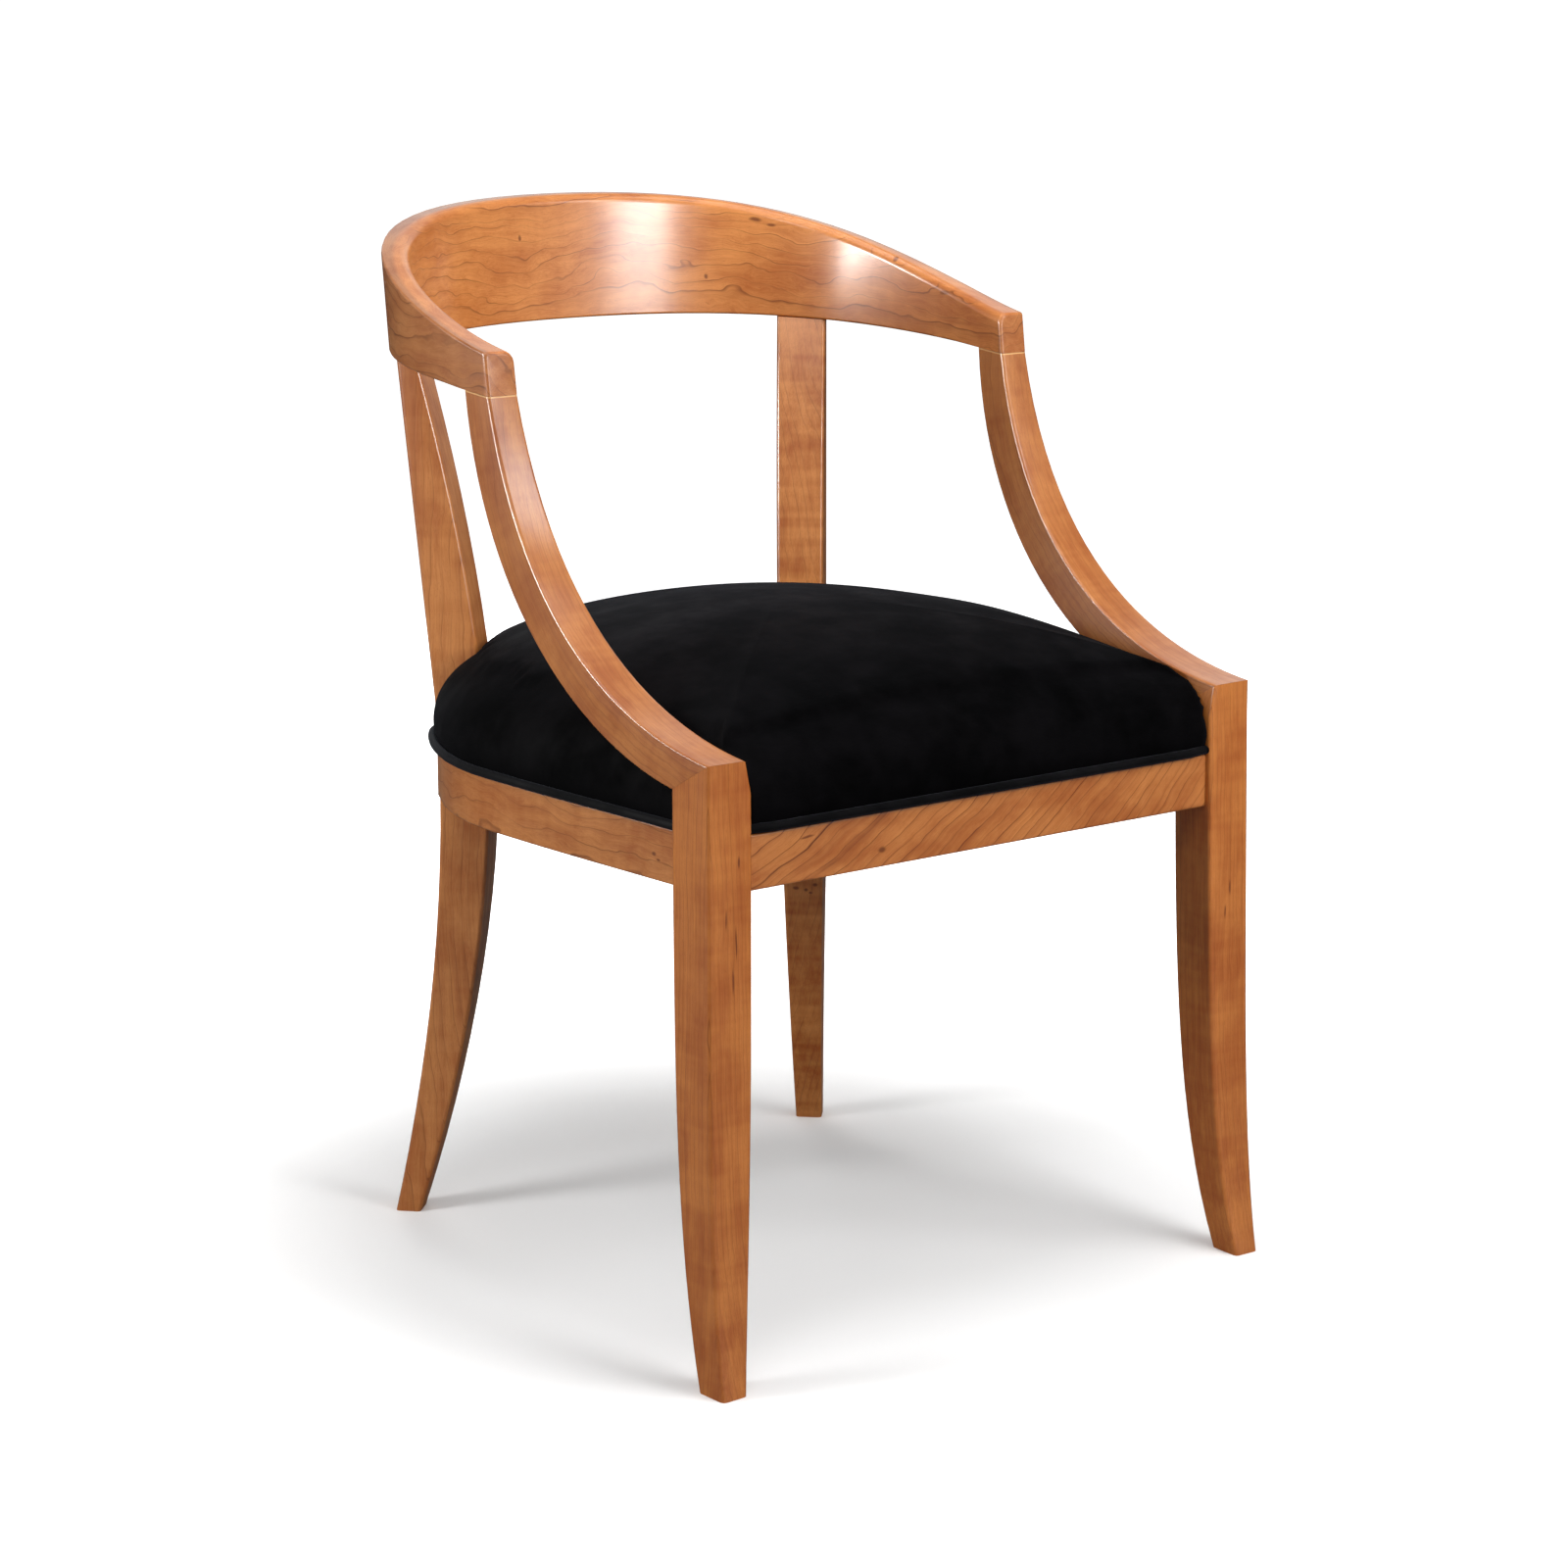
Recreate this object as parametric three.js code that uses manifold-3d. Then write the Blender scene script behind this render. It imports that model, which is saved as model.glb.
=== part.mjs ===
// Klismos armchair: sabre legs, a one-piece tub crest rail, swooping arm supports and an upholstered
// seat. Lengths are in millimetres, Z is up and the chair faces -Y. The plan is laid out from the
// ends of the crest rail, at Y = 0. Left and right are as seen from in front. Each right-hand piece
// (X above 0) is built first and its left-hand twin is its mirror image.

import * as THREE from 'three'
import { mergeVertices } from 'three/addons/utils/BufferGeometryUtils.js'
import Module from 'manifold-3d'

const wasm = await Module()
wasm.setup()

// Driving dimensions of the whole chair
const tubWidth = 519.3 // outside the tub, at the arm ends
const tubDepth = 289.6 // from the arm ends to the outside of the back
const frontReach = 266.3 // from the arm ends forward to the tops of the front legs
const crestTopHeight = 807.2 // highest point, at the middle of the back
const crestEndHeight = 716.7 // top of the crest rail at the arm ends
const crestEndBottom = 685.4 // underside of the crest rail at the arm ends
const crestBottomRise = 22.9 // how much higher the underside is at the back
const legTopHeight = 455.9 // top front corner of a front leg
const seatRailTop = 401.5
const railHeight = 41.1
const railThickness = 22
const seatCrown = 110.5 // height of the cushion above the rails

// Clearances
const clearance = 0.3 // between pieces that fit together
const buttGap = 0.1 // at flat glued butt joints
const overrun = 5 // how far a cut runs past what it cuts

// Crest rail
const crest = {
  endThickness: 26.4,
  backThickness: 21,
  level: 702, // height at which the plan is drawn
  edgeRadius: 2,
  softRadius: 8, // on the upper inner edge
  jointRadius: 0.4, // on the lower edges where the arm supports meet them
  endRadius: 2.5, // round the end faces
  endRake: 4.3, // how far the end faces lean back over their height
  endSteps: 3, // in the rounding of the end faces
  sections: 30 // from an arm end to the middle of the back
}
const crestEndLeanShare = 0.01
const crestBackLeanShare = 0.1
const crestHandleShares = { endX: 0.9986, endY: 0.2481, backX: 1.0636 }
const crestRiseShares = [0.65, 0.726, -0.376]
const crestTaperPower = 3.4

// Arm supports
const arm = {
  topDepth: 30.4, // along the crest rail, at the joint
  footWidth: 34.3, // at the mitre
  heelDrop: 23.5, // how much lower the back of the mitre is than its front
  edgeRadius: 3,
  sections: 26
}
const armFrontShares = { run: [0.167, 0.757], drop: [0.842, 0.974] }
const armRearShares = { run: [0.076, 0.522], drop: [0.574, 0.925] }

// Front legs
const frontLeg = {
  inset: 1.05, // from the outside of the tub
  turn: 2.1, // degrees that each is turned outwards
  topWidth: 39.8,
  topDepth: 41.4,
  footWidth: 22.3,
  footDepth: 28.3,
  kickForward: 21.1,
  kickOut: 5.3,
  edgeRadius: 3,
  sections: 20
}
const legStraightShare = 0.963 // of the leg's height, where the sabre curve has died out
const legNarrowShare = 0.066 // of the leg's height, over which it narrows to the arm support
const sabreShares = { front: [0.36, 5.5], rear: [0.22, 4], inner: [0.25, 4], outer: [1, 1] }

// Rear legs, each a post and a sabre leg in one piece
const rearLeg = {
  turn: 43.5, // degrees that each faces away from straight back
  inset: 6.5, // of the post's outside behind the outside of the crest rail
  frameInset: 35.9, // of the same face at the seat, which lies flush with the rails
  kickBack: 44.8,
  drift: 6.4, // how far the leg stands ahead of the post's top
  footWidth: 22.3,
  kneeWidth: 36.8,
  topWidth: 40.8,
  footDepth: 20.4,
  seatDepth: 40.5,
  topDepth: 14.4,
  edgeRadius: 3,
  sections: 24
}
const postPlaceShare = 0.6268 // along the hoop, from the arm end to the middle of the back
const kneeShare = 0.716 // of the seat rail's height
const kickShare = 0.849
const fullDepthShare = 0.971
const leanStartShare = 0.984
const postTaperStartShare = 1.044
const kickPower = 1.8
const footDepthPower = 1.75
const postDepthPower = 1.9

// Seat frame: the outside of the rails in plan
const frame = {
  frontInset: 5.2, // of the front rail behind the fronts of the legs
  sideInset: 9.9, // of the side rails' front ends inside the legs
  swell: 0.55, // of the side rails beyond the tub's outside at their widest
  backInset: 28.5, // of the back rail inside the crest rail
  widest: 11.1, // how far behind the arm ends the frame is widest
  edgeRadius: 2,
  sideSections: 16,
  backSections: 12,
  frontSections: 2
}
const sideHandleShares = { frontX: 0.4, frontY: 0.393, widestY: 0.313 }
const backHandleShares = { widestY: 0.34, backX: 0.711 }

// Tenons and mortises
const tenon = {
  length: 15,
  thickness: 9,
  shoulder: 6, // above and below a rail tenon
  root: 4, // how far a tenon is carried back inside its own rail
  cornerRadius: 1,
  postHeight: 20,
  postWidth: 26,
  sections: 3
}

// Loose joinery
const dowel = { radius: 5, inArm: 20, inCrest: 17, sides: 20 }
const tongue = { thickness: 8, width: 20, inArm: 7, inLeg: 14, heelShift: 5, radius: 3.9 }

// Upholstered seat
const board = { thickness: 12, inset: 8 }
const dustCover = { thickness: 1, inset: 2 }
const dustSections = { side: 8, back: 14 }
const cushion = {
  wallHeight: 18.5, // height of the widest part above the rails
  edgeHeight: 31.2, // from there to where the crown begins
  sideBulge: 3.7, // beyond the rails
  clothThickness: 2.5, // velvet over wadding
  centreBack: 14.8, // how far the crown's middle lies in front of the arm ends
  legGap: 0.8,
  rimGap: 1.4, // between the cushion's lower rim and the welt
  blendReach: 70, // how far its front's shape fades into its back's, to each side of the middle
  frontSections: 6,
  notchReach: 30 // how far the notches for the legs run outwards
}
const crownShares = { edgePower: 7.8, edgeRound: 2.32, crownPower: 0.63, backPower: 0.75, cornerPower: 7 }
const coverSections = { side: 8, back: 12 }
const liningSections = { side: 6, back: 9 }
const ringShares = [1, 0.99, 0.965, 0.92, 0.84, 0.7, 0.5, 0.25]
const innerRingShares = [1, 0.96, 0.82, 0.5]
const welt = { radius: 3.5, overhang: 3, tuck: 4, tuckLength: 26, sides: 8, stepLength: 18 }
const weltPoints = { side: 24, back: 12 }
const frontWeltShares = [-1, -0.9, 0, 0.9, 1]

// Corner blocks and screws
const block = {
  height: 30,
  frontReach: 72, // along each front rail from the inner corner
  rearReach: 78, // along the rails, to each side of a rear leg
  rearDepth: 48,
  pocketReach: 60
}
const blockNearShare = 0.55 // of the reach, where a rear block's short side ends
const screwPlaceShare = 0.74 // of the reach, where a block's screws go into the rails
const rearBlockShares = [-1, -0.5, 0, 0.5, 1] // of the reach, along a rear block's outer side
const blockScrew = { headRadius: 4.2, headHeight: 2.8, shankRadius: 2.1, length: 30, tip: 4, sides: 10 }
const seatScrew = { headRadius: 4.2, headHeight: 2.8, shankRadius: 2.1, length: 32, tip: 4, sides: 10 }
const screwBite = 14 // how deep a block screw goes into its rail
const seatScrewBite = 9
const seatScrewInset = 15 // from the block's open side

const cherry = { color: 0xb46a35, roughness: 0.32, metalness: 0 }
const bareWood = { color: 0xc08a58, roughness: 0.7, metalness: 0 }
const velvet = { color: 0x0b0b0d, roughness: 0.95, metalness: 0 }
const foamFinish = { color: 0xe8dfc2, roughness: 0.9, metalness: 0 }
const clothFinish = { color: 0x151515, roughness: 0.95, metalness: 0 }
const screwFinish = { color: 0x9a9a98, roughness: 0.35, metalness: 0.9 }

const filletShare = 0.45 // of a side, the most that the fillet at each end may take
const filletSteps = [2, 2, 2, 2]
const crestFilletSteps = [2, 2, 4, 2]
const settlingPasses = 6 // for a height and a place that depend on each other
const halvings = 50 // in the search for a zero
const bezierDegree = 3

const { lerp, clamp, degToRad, smoothstep } = THREE.MathUtils
const chair = new THREE.Group()

// Solids and their joining

function toSolid(geometry) {
  const bare = new THREE.BufferGeometry()
  bare.setAttribute('position', geometry.getAttribute('position'))
  bare.setIndex(geometry.getIndex())
  const merged = mergeVertices(bare)
  const mesh = new wasm.Mesh({
    numProp: 3,
    vertProperties: new Float32Array(merged.getAttribute('position').array),
    triVerts: new Uint32Array(merged.getIndex().array)
  })
  return new wasm.Manifold(mesh)
}

function toGeometry(solid) {
  const mesh = solid.getMesh()
  const geometry = new THREE.BufferGeometry()
  geometry.setAttribute('position', new THREE.BufferAttribute(mesh.vertProperties, 3))
  geometry.setIndex(new THREE.BufferAttribute(mesh.triVerts, 1))
  return geometry
}

function cut(geometry, ...cutters) {
  const solid = cutters.reduce((body, cutter) => body.subtract(toSolid(cutter)), toSolid(geometry))
  return toGeometry(solid)
}

function joined(geometry, ...others) {
  const solid = others.reduce((body, other) => body.add(toSolid(other)), toSolid(geometry))
  return toGeometry(solid)
}

function mirrored(geometry) {
  const twin = new THREE.BufferGeometry()
  const places = geometry.getAttribute('position').clone()
  for (let i = 0; i < places.count; i++) places.setX(i, -places.getX(i))
  const corners = Array.from(geometry.getIndex().array)
  for (let i = 0; i < corners.length; i += 3) [corners[i], corners[i + 1]] = [corners[i + 1], corners[i]]
  twin.setAttribute('position', places)
  twin.setIndex(corners)
  return twin
}

function addPiece(name, geometry, finish) {
  geometry.computeVertexNormals()
  const piece = new THREE.Mesh(geometry, new THREE.MeshStandardMaterial(finish))
  piece.name = name
  chair.add(piece)
}

function addPair(name, geometry, finish) {
  addPiece(`${name}_right`, geometry, finish)
  addPiece(`${name}_left`, mirrored(geometry), finish)
}

// Lofts

// A closed skin over rings that all have the same number of points, each end closed from its centre.
function loft(rings) {
  const sides = rings[0].length
  const last = (rings.length - 1) * sides
  const firstCentre = rings.length * sides
  const corners = []
  for (let side = 0; side < sides; side++) {
    const beside = (side + 1) % sides
    for (let start = 0; start < last; start += sides) {
      const here = start + side
      const next = start + beside
      corners.push(here, next, next + sides, here, next + sides, here + sides)
    }
    corners.push(firstCentre, beside, side)
    corners.push(firstCentre + 1, last + side, last + beside)
  }
  const points = [...rings.flat(), middleOf(rings[0]), middleOf(rings.at(-1))]
  const geometry = new THREE.BufferGeometry().setFromPoints(points)
  if (enclosedVolume(points, corners) < 0) corners.reverse()
  geometry.setIndex(corners)
  return geometry
}

function middleOf(points) {
  return points.reduce((sum, point) => sum.add(point), new THREE.Vector3()).divideScalar(points.length)
}

function enclosedVolume(points, corners) {
  let volume = 0
  for (let i = 0; i < corners.length; i += 3) {
    const [a, b, c] = [points[corners[i]], points[corners[i + 1]], points[corners[i + 2]]]
    volume += a.dot(new THREE.Vector3().crossVectors(b, c))
  }
  return volume
}

// A quadrilateral whose corners are rounded, each by its own radius and number of steps.
function roundedQuad(corners, radii, steps) {
  const points = []
  corners.forEach((corner, i) => {
    const toLast = corners[(i + 3) % 4].clone().sub(corner)
    const toNext = corners[(i + 1) % 4].clone().sub(corner)
    const shorter = Math.min(toLast.length(), toNext.length())
    const radius = Math.min(radii[i], shorter * filletShare)
    const a = toLast.normalize()
    const b = toNext.normalize()
    for (let step = 0; step <= steps[i]; step++) {
      const angle = (step / steps[i]) * Math.PI / 2
      const alongLast = radius * (1 - Math.sin(angle))
      const alongNext = radius * (1 - Math.cos(angle))
      points.push(corner.clone().addScaledVector(a, alongLast).addScaledVector(b, alongNext))
    }
  })
  return points
}

function evenQuad(corners, radius) {
  return roundedQuad(corners, [radius, radius, radius, radius], filletSteps)
}

// The same quadrilateral with each side moved outwards by a distance.
function grownQuad(corners, distance) {
  return corners.map((corner, i) => {
    const a = corners[(i + 3) % 4].clone().sub(corner).normalize()
    const b = corners[(i + 1) % 4].clone().sub(corner).normalize()
    const sine = new THREE.Vector3().crossVectors(a, b).length()
    return corner.clone().addScaledVector(a.add(b), -distance / sine)
  })
}

// The place between low and high where a steadily changing measure is zero.
function findZero(measure, low, high) {
  const rising = measure(high) > measure(low)
  for (let halving = 0; halving < halvings; halving++) {
    const middle = (low + high) / 2
    if (measure(middle) > 0 === rising) high = middle
    else low = middle
  }
  return (low + high) / 2
}

function planCurve(...points) {
  return new THREE.CubicBezierCurve(...points.map(([x, y]) => new THREE.Vector2(x, y)))
}

// A point of a plan curve, with the directions along it and out of the chair.
function planPlace(curve, share) {
  const [a, b, c] = [[curve.v0, curve.v1], [curve.v1, curve.v2], [curve.v2, curve.v3]]
    .map(([from, to]) => to.clone().sub(from))
  const along = new THREE.QuadraticBezierCurve(a, b, c).getPoint(share).normalize()
  return { point: curve.getPoint(share), along, out: new THREE.Vector2(along.y, -along.x) }
}

function at(planPoint, height) {
  return new THREE.Vector3(planPoint.x, planPoint.y, height)
}

// Crest rail

const halfTub = tubWidth / 2
const crestRise = crestTopHeight - crestEndHeight
const undersideSlope = crestBottomRise / tubDepth
const endRakeSlope = crest.endRake / (crestEndHeight - crestEndBottom)
const hoop = planCurve(
  [halfTub, 0],
  [halfTub * crestHandleShares.endX, tubDepth * crestHandleShares.endY],
  [halfTub * crestHandleShares.backX, tubDepth],
  [0, tubDepth]
)
const hoopSpeed = hoop.v1.clone().sub(hoop.v0).length() * bezierDegree // at the arm end

function undersideHeight(y) {
  return crestEndBottom + undersideSlope * y
}

function crestTopAt(y) {
  const u = y / tubDepth
  const [first, second, third] = crestRiseShares
  return crestEndHeight + crestRise * (first * u + second * u ** 2 + third * u ** 3)
}

function crestThickness(share) {
  return lerp(crest.backThickness, crest.endThickness, (1 - share) ** crestTaperPower)
}

function crestLean(share) {
  return lerp(crestEndLeanShare, crestBackLeanShare, Math.sin(share * Math.PI / 2) ** 2)
}

// A plan point of the crest rail, a distance in from its outside face, at a height.
function crestPoint(share, inset, height) {
  const { point, along, out } = planPlace(hoop, share)
  const rise = height - crest.level
  const endBlend = 1 - smoothstep(share, 0, crestHandleShares.endY)
  return point.clone()
    .addScaledVector(out, crestLean(share) * rise - inset)
    .addScaledVector(along, endRakeSlope * rise * endBlend)
}

function crestUnderside(share, inset) {
  let height = crestEndBottom
  for (let pass = 0; pass < settlingPasses; pass++) {
    height = undersideHeight(crestPoint(share, inset, height).y)
  }
  return at(crestPoint(share, inset, height), height)
}

function crestSection(share, shrink) {
  const { point } = planPlace(hoop, share)
  const top = crestTopAt(point.y) - shrink
  const inner = crestThickness(share) - shrink
  const corners = [
    crestUnderside(share, shrink),
    at(crestPoint(share, shrink, top), top),
    at(crestPoint(share, inner, top), top),
    crestUnderside(share, inner)
  ]
  const clearOfArm = smoothstep(point.y, arm.topDepth, arm.topDepth * 2)
  const lower = lerp(crest.jointRadius, crest.edgeRadius, clearOfArm)
  const radii = [lower, crest.edgeRadius, crest.softRadius, lower]
  return roundedQuad(corners, radii, crestFilletSteps)
}

function crestLoft() {
  const half = []
  for (let step = 0; step < crest.endSteps; step++) {
    const angle = (step / crest.endSteps) * Math.PI / 2
    const setback = crest.endRadius * (1 - Math.cos(angle))
    half.push(crestSection(setback / hoopSpeed, crest.endRadius * (1 - Math.sin(angle))))
  }
  const first = crest.endRadius / hoopSpeed
  for (let section = 0; section <= crest.sections; section++) {
    half.push(crestSection(lerp(first, 1, section / crest.sections), 0))
  }
  const other = half.slice(0, -1).reverse().map(mirroredRing)
  return loft([...half, ...other])
}

function mirroredRing(ring) {
  return ring.map((point) => new THREE.Vector3(-point.x, point.y, point.z))
}

// Front legs. Across and deep are measured from the top outer front corner, inwards and backwards.

const legTurn = degToRad(frontLeg.turn)
const legCorner = new THREE.Vector2(halfTub - frontLeg.inset, -frontReach)
const legInward = new THREE.Vector2(-Math.cos(legTurn), Math.sin(legTurn))
const legBackward = new THREE.Vector2(Math.sin(legTurn), Math.cos(legTurn))
const mitreSlope = arm.heelDrop / frontLeg.topDepth

function sabre(height, [evenShare, power], foot, top) {
  const left = Math.max(0, 1 - height / (legTopHeight * legStraightShare))
  return lerp(top, foot, evenShare * left + (1 - evenShare) * left ** power)
}

function legPoint(acrossIn, deep, height) {
  const narrowing = legTopHeight * legNarrowShare
  const narrow = Math.max(0, (height - legTopHeight + narrowing) / narrowing) ** 2
  const footIn = frontLeg.footWidth - frontLeg.kickOut
  const footRear = frontLeg.footDepth - frontLeg.kickForward
  const topIn = frontLeg.topWidth - narrow * (frontLeg.topWidth - arm.footWidth)
  const across = acrossIn
    ? sabre(height, sabreShares.inner, footIn, topIn)
    : sabre(height, sabreShares.outer, -frontLeg.kickOut, 0)
  const back = deep
    ? sabre(height, sabreShares.rear, footRear, frontLeg.topDepth)
    : sabre(height, sabreShares.front, -frontLeg.kickForward, 0)
  return legCorner.clone().addScaledVector(legInward, across).addScaledVector(legBackward, back)
}

function mitreHeight(y) {
  return legTopHeight - mitreSlope * (y - legCorner.y)
}

function legTopCorner(acrossIn, deep) {
  let height = legTopHeight
  for (let pass = 0; pass < settlingPasses; pass++) {
    height = mitreHeight(legPoint(acrossIn, deep, height).y)
  }
  return at(legPoint(acrossIn, deep, height), height)
}

const legCornerOrder = [[false, false], [true, false], [true, true], [false, true]]

function frontLegQuads(steps) {
  const tops = legCornerOrder.map(([acrossIn, deep]) => legTopCorner(acrossIn, deep).z)
  return Array.from({ length: steps + 1 }, (_, step) => legCornerOrder.map(([acrossIn, deep], i) => {
    const height = tops[i] * step / steps
    return at(legPoint(acrossIn, deep, height), height)
  }))
}

const frontLegCorners = frontLegQuads(frontLeg.sections)
const frontLegLoft = loft(frontLegCorners.map((quad) => evenQuad(quad, frontLeg.edgeRadius)))

function frontLegEnvelope(growth) {
  return loft(frontLegCorners.map((quad) => grownQuad(quad, growth)))
}

// Arm supports

const armRearShare = findZero((share) => crestUnderside(share, 0).y - arm.topDepth, 0, 1 / 2)
const armTops = [
  crestUnderside(0, 0),
  crestUnderside(0, crest.endThickness),
  crestUnderside(armRearShare, crestThickness(armRearShare)),
  crestUnderside(armRearShare, 0)
].map((corner) => corner.setZ(corner.z - buttGap))
const armFeet = legCornerOrder.map(([acrossIn, deep]) => legTopCorner(acrossIn, deep))
armFeet.forEach((corner) => corner.setZ(corner.z + buttGap))
const armEdgeShares = [armFrontShares, armFrontShares, armRearShares, armRearShares]

const armEdges = armTops.map((top, i) => {
  const foot = armFeet[i]
  const { run, drop } = armEdgeShares[i]
  const middle = run.map((runShare, k) => new THREE.Vector3(
    lerp(top.x, foot.x, drop[k]),
    lerp(top.y, foot.y, runShare),
    lerp(top.z, foot.z, drop[k])
  ))
  return new THREE.CubicBezierCurve3(top, ...middle, foot)
})
const armCorners = Array.from({ length: arm.sections + 1 }, (_, section) => (
  armEdges.map((edge) => edge.getPoint(section / arm.sections))
))
const armLoft = loft(armCorners.map((quad) => evenQuad(quad, arm.edgeRadius)))

// Rear legs. Radial is measured outwards and tangent forwards, from the crest rail above the post.

const postTurn = degToRad(rearLeg.turn)
const postOrigin = hoop.getPoint(postPlaceShare)
const radial = new THREE.Vector2(Math.sin(postTurn), Math.cos(postTurn))
const tangent = new THREE.Vector2(radial.y, -radial.x)
const postTop = undersideHeight(postOrigin.y)

function postOutside(height) {
  const kickHeight = seatRailTop * kickShare
  const leanStart = seatRailTop * leanStartShare
  const kick = rearLeg.kickBack * Math.max(0, 1 - height / kickHeight) ** kickPower
  const lean = Math.max(0, height - leanStart) / (postTop - leanStart)
  return kick - lerp(rearLeg.frameInset, rearLeg.inset, lean)
}

function postDepth(height) {
  const below = Math.max(0, 1 - height / (seatRailTop * fullDepthShare)) ** footDepthPower
  const taperStart = seatRailTop * postTaperStartShare
  const above = clamp((height - taperStart) / (postTop - taperStart), 0, 1) ** postDepthPower
  const swell = (rearLeg.seatDepth - rearLeg.footDepth) * below
  return rearLeg.seatDepth - swell - (rearLeg.seatDepth - rearLeg.topDepth) * above
}

function postWidth(height) {
  const knee = seatRailTop * kneeShare
  if (height < knee) return lerp(rearLeg.footWidth, rearLeg.kneeWidth, height / knee)
  return lerp(rearLeg.kneeWidth, rearLeg.topWidth, (height - knee) / (postTop - knee))
}

function postMiddle(height) {
  const knee = seatRailTop * kneeShare
  return rearLeg.drift * (1 - Math.max(0, height - knee) / (postTop - knee))
}

function rearPoint(isInner, side, height) {
  const outward = postOutside(height) - (isInner ? postDepth(height) : 0)
  const forward = postMiddle(height) + side * postWidth(height) / 2
  return postOrigin.clone().addScaledVector(radial, outward).addScaledVector(tangent, forward)
}

const rearCornerOrder = [[false, 1], [true, 1], [true, -1], [false, -1]]

function rearLegQuads(steps) {
  const tops = rearCornerOrder.map(([isInner, side]) => {
    let height = postTop
    for (let pass = 0; pass < settlingPasses; pass++) {
      height = undersideHeight(rearPoint(isInner, side, height).y) - clearance
    }
    return height
  })
  return Array.from({ length: steps + 1 }, (_, step) => rearCornerOrder.map(([isInner, side], i) => {
    const height = tops[i] * step / steps
    return at(rearPoint(isInner, side, height), height)
  }))
}

const rearLegCorners = rearLegQuads(rearLeg.sections)
const rearLegLoft = loft(rearLegCorners.map((quad) => evenQuad(quad, rearLeg.edgeRadius)))

function rearLegEnvelope(growth) {
  return loft(rearLegCorners.map((quad) => grownQuad(quad, growth)))
}

// The post's tenon stands inside the crest rail, half way through its thickness.
function postTenon(growth) {
  const { along } = planPlace(hoop, postPlaceShare)
  const middle = crestThickness(postPlaceShare) / 2
  const rings = [postTop - tenon.root - growth, postTop + tenon.postHeight + growth].map((height) => {
    const centre = at(crestPoint(postPlaceShare, middle, height), height)
    const wide = at(along.clone().multiplyScalar(tenon.postWidth / 2 + growth), 0)
    const thick = at(new THREE.Vector2(along.y, -along.x).multiplyScalar(tenon.thickness / 2 + growth), 0)
    const corners = [[1, 1], [-1, 1], [-1, -1], [1, -1]].map(([w, t]) => (
      centre.clone().addScaledVector(wide, w).addScaledVector(thick, t)
    ))
    return evenQuad(corners, tenon.cornerRadius)
  })
  return loft(rings)
}

// Seat frame

const railBottom = seatRailTop - railHeight
const frameFront = legCorner.y + frame.frontInset
const frameBack = tubDepth - frame.backInset
const frameHalf = halfTub + frame.swell
const frameFrontHalf = legCorner.x - frame.sideInset
const sideLength = frame.widest - frameFront
const backLength = frameBack - frame.widest
const sideCurve = planCurve(
  [frameFrontHalf, frameFront],
  [
    lerp(frameFrontHalf, frameHalf, sideHandleShares.frontX),
    frameFront + sideLength * sideHandleShares.frontY
  ],
  [frameHalf, frame.widest - sideLength * sideHandleShares.widestY],
  [frameHalf, frame.widest]
)
const backCurve = planCurve(
  [frameHalf, frame.widest],
  [frameHalf, frame.widest + backLength * backHandleShares.widestY],
  [frameHalf * backHandleShares.backX, frameBack],
  [0, frameBack]
)

// From 0 at the front corner through 1 at the widest place to 2 at the middle of the back.
function framePlace(turn) {
  return turn < 1 ? planPlace(sideCurve, turn) : planPlace(backCurve, turn - 1)
}

function framePoint(turn, inset) {
  const { point, out } = framePlace(turn)
  return point.clone().addScaledVector(out, -inset)
}

function railQuad(place, near, far, low, high) {
  const outer = place.point.clone().addScaledVector(place.out, -near)
  const inner = place.point.clone().addScaledVector(place.out, -far)
  return [at(outer, low), at(outer, high), at(inner, high), at(inner, low)]
}

function railLoft(places, near, far, low, high, radius) {
  return loft(places.map((place) => evenQuad(railQuad(place, near, far, low, high), radius)))
}

function fullRail(places) {
  return railLoft(places, 0, railThickness, railBottom, seatRailTop, frame.edgeRadius)
}

function railTenon(places, growth) {
  const margin = (railThickness - tenon.thickness) / 2
  const low = railBottom + tenon.shoulder - growth
  const high = seatRailTop - tenon.shoulder + growth
  return railLoft(places, margin - growth, margin + tenon.thickness + growth, low, high, tenon.cornerRadius)
}

function railPlaces(from, to, steps) {
  return Array.from({ length: steps + 1 }, (_, step) => framePlace(lerp(from, to, step / steps)))
}

const railMiddle = (seatRailTop + railBottom) / 2

function turnAtDepth(y) {
  return findZero((turn) => framePlace(turn).point.y - y, 0, 1)
}

function turnAtTangent(forward) {
  return findZero((turn) => framePlace(turn).point.clone().sub(postOrigin).dot(tangent) - forward, 0, 2)
}

const legRear = legPoint(true, true, railMiddle).y
const postForward = postMiddle(railMiddle) + postWidth(railMiddle) / 2
const postBackward = postMiddle(railMiddle) - postWidth(railMiddle) / 2
const postTurnPlace = turnAtTangent(postMiddle(railMiddle))

const sideRailStart = turnAtDepth((legCorner.y + legRear) / 2)
const sideRailPlaces = railPlaces(sideRailStart, postTurnPlace, frame.sideSections)
const backRailPlaces = railPlaces(postTurnPlace, 2, frame.backSections)
const sideTenonSpans = [
  [turnAtDepth(legRear - tenon.length), turnAtDepth(legRear + tenon.root)],
  [turnAtTangent(postForward - tenon.length), turnAtTangent(postForward + tenon.root)]
]
const backTenonSpan = [turnAtTangent(postBackward + tenon.length), turnAtTangent(postBackward - tenon.root)]

function spanTenon([from, to], growth) {
  const reach = growth * (to - from) / (tenon.length + tenon.root)
  const start = from < to ? from - reach : from
  return railTenon(railPlaces(start, to, tenon.sections), growth)
}

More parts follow.
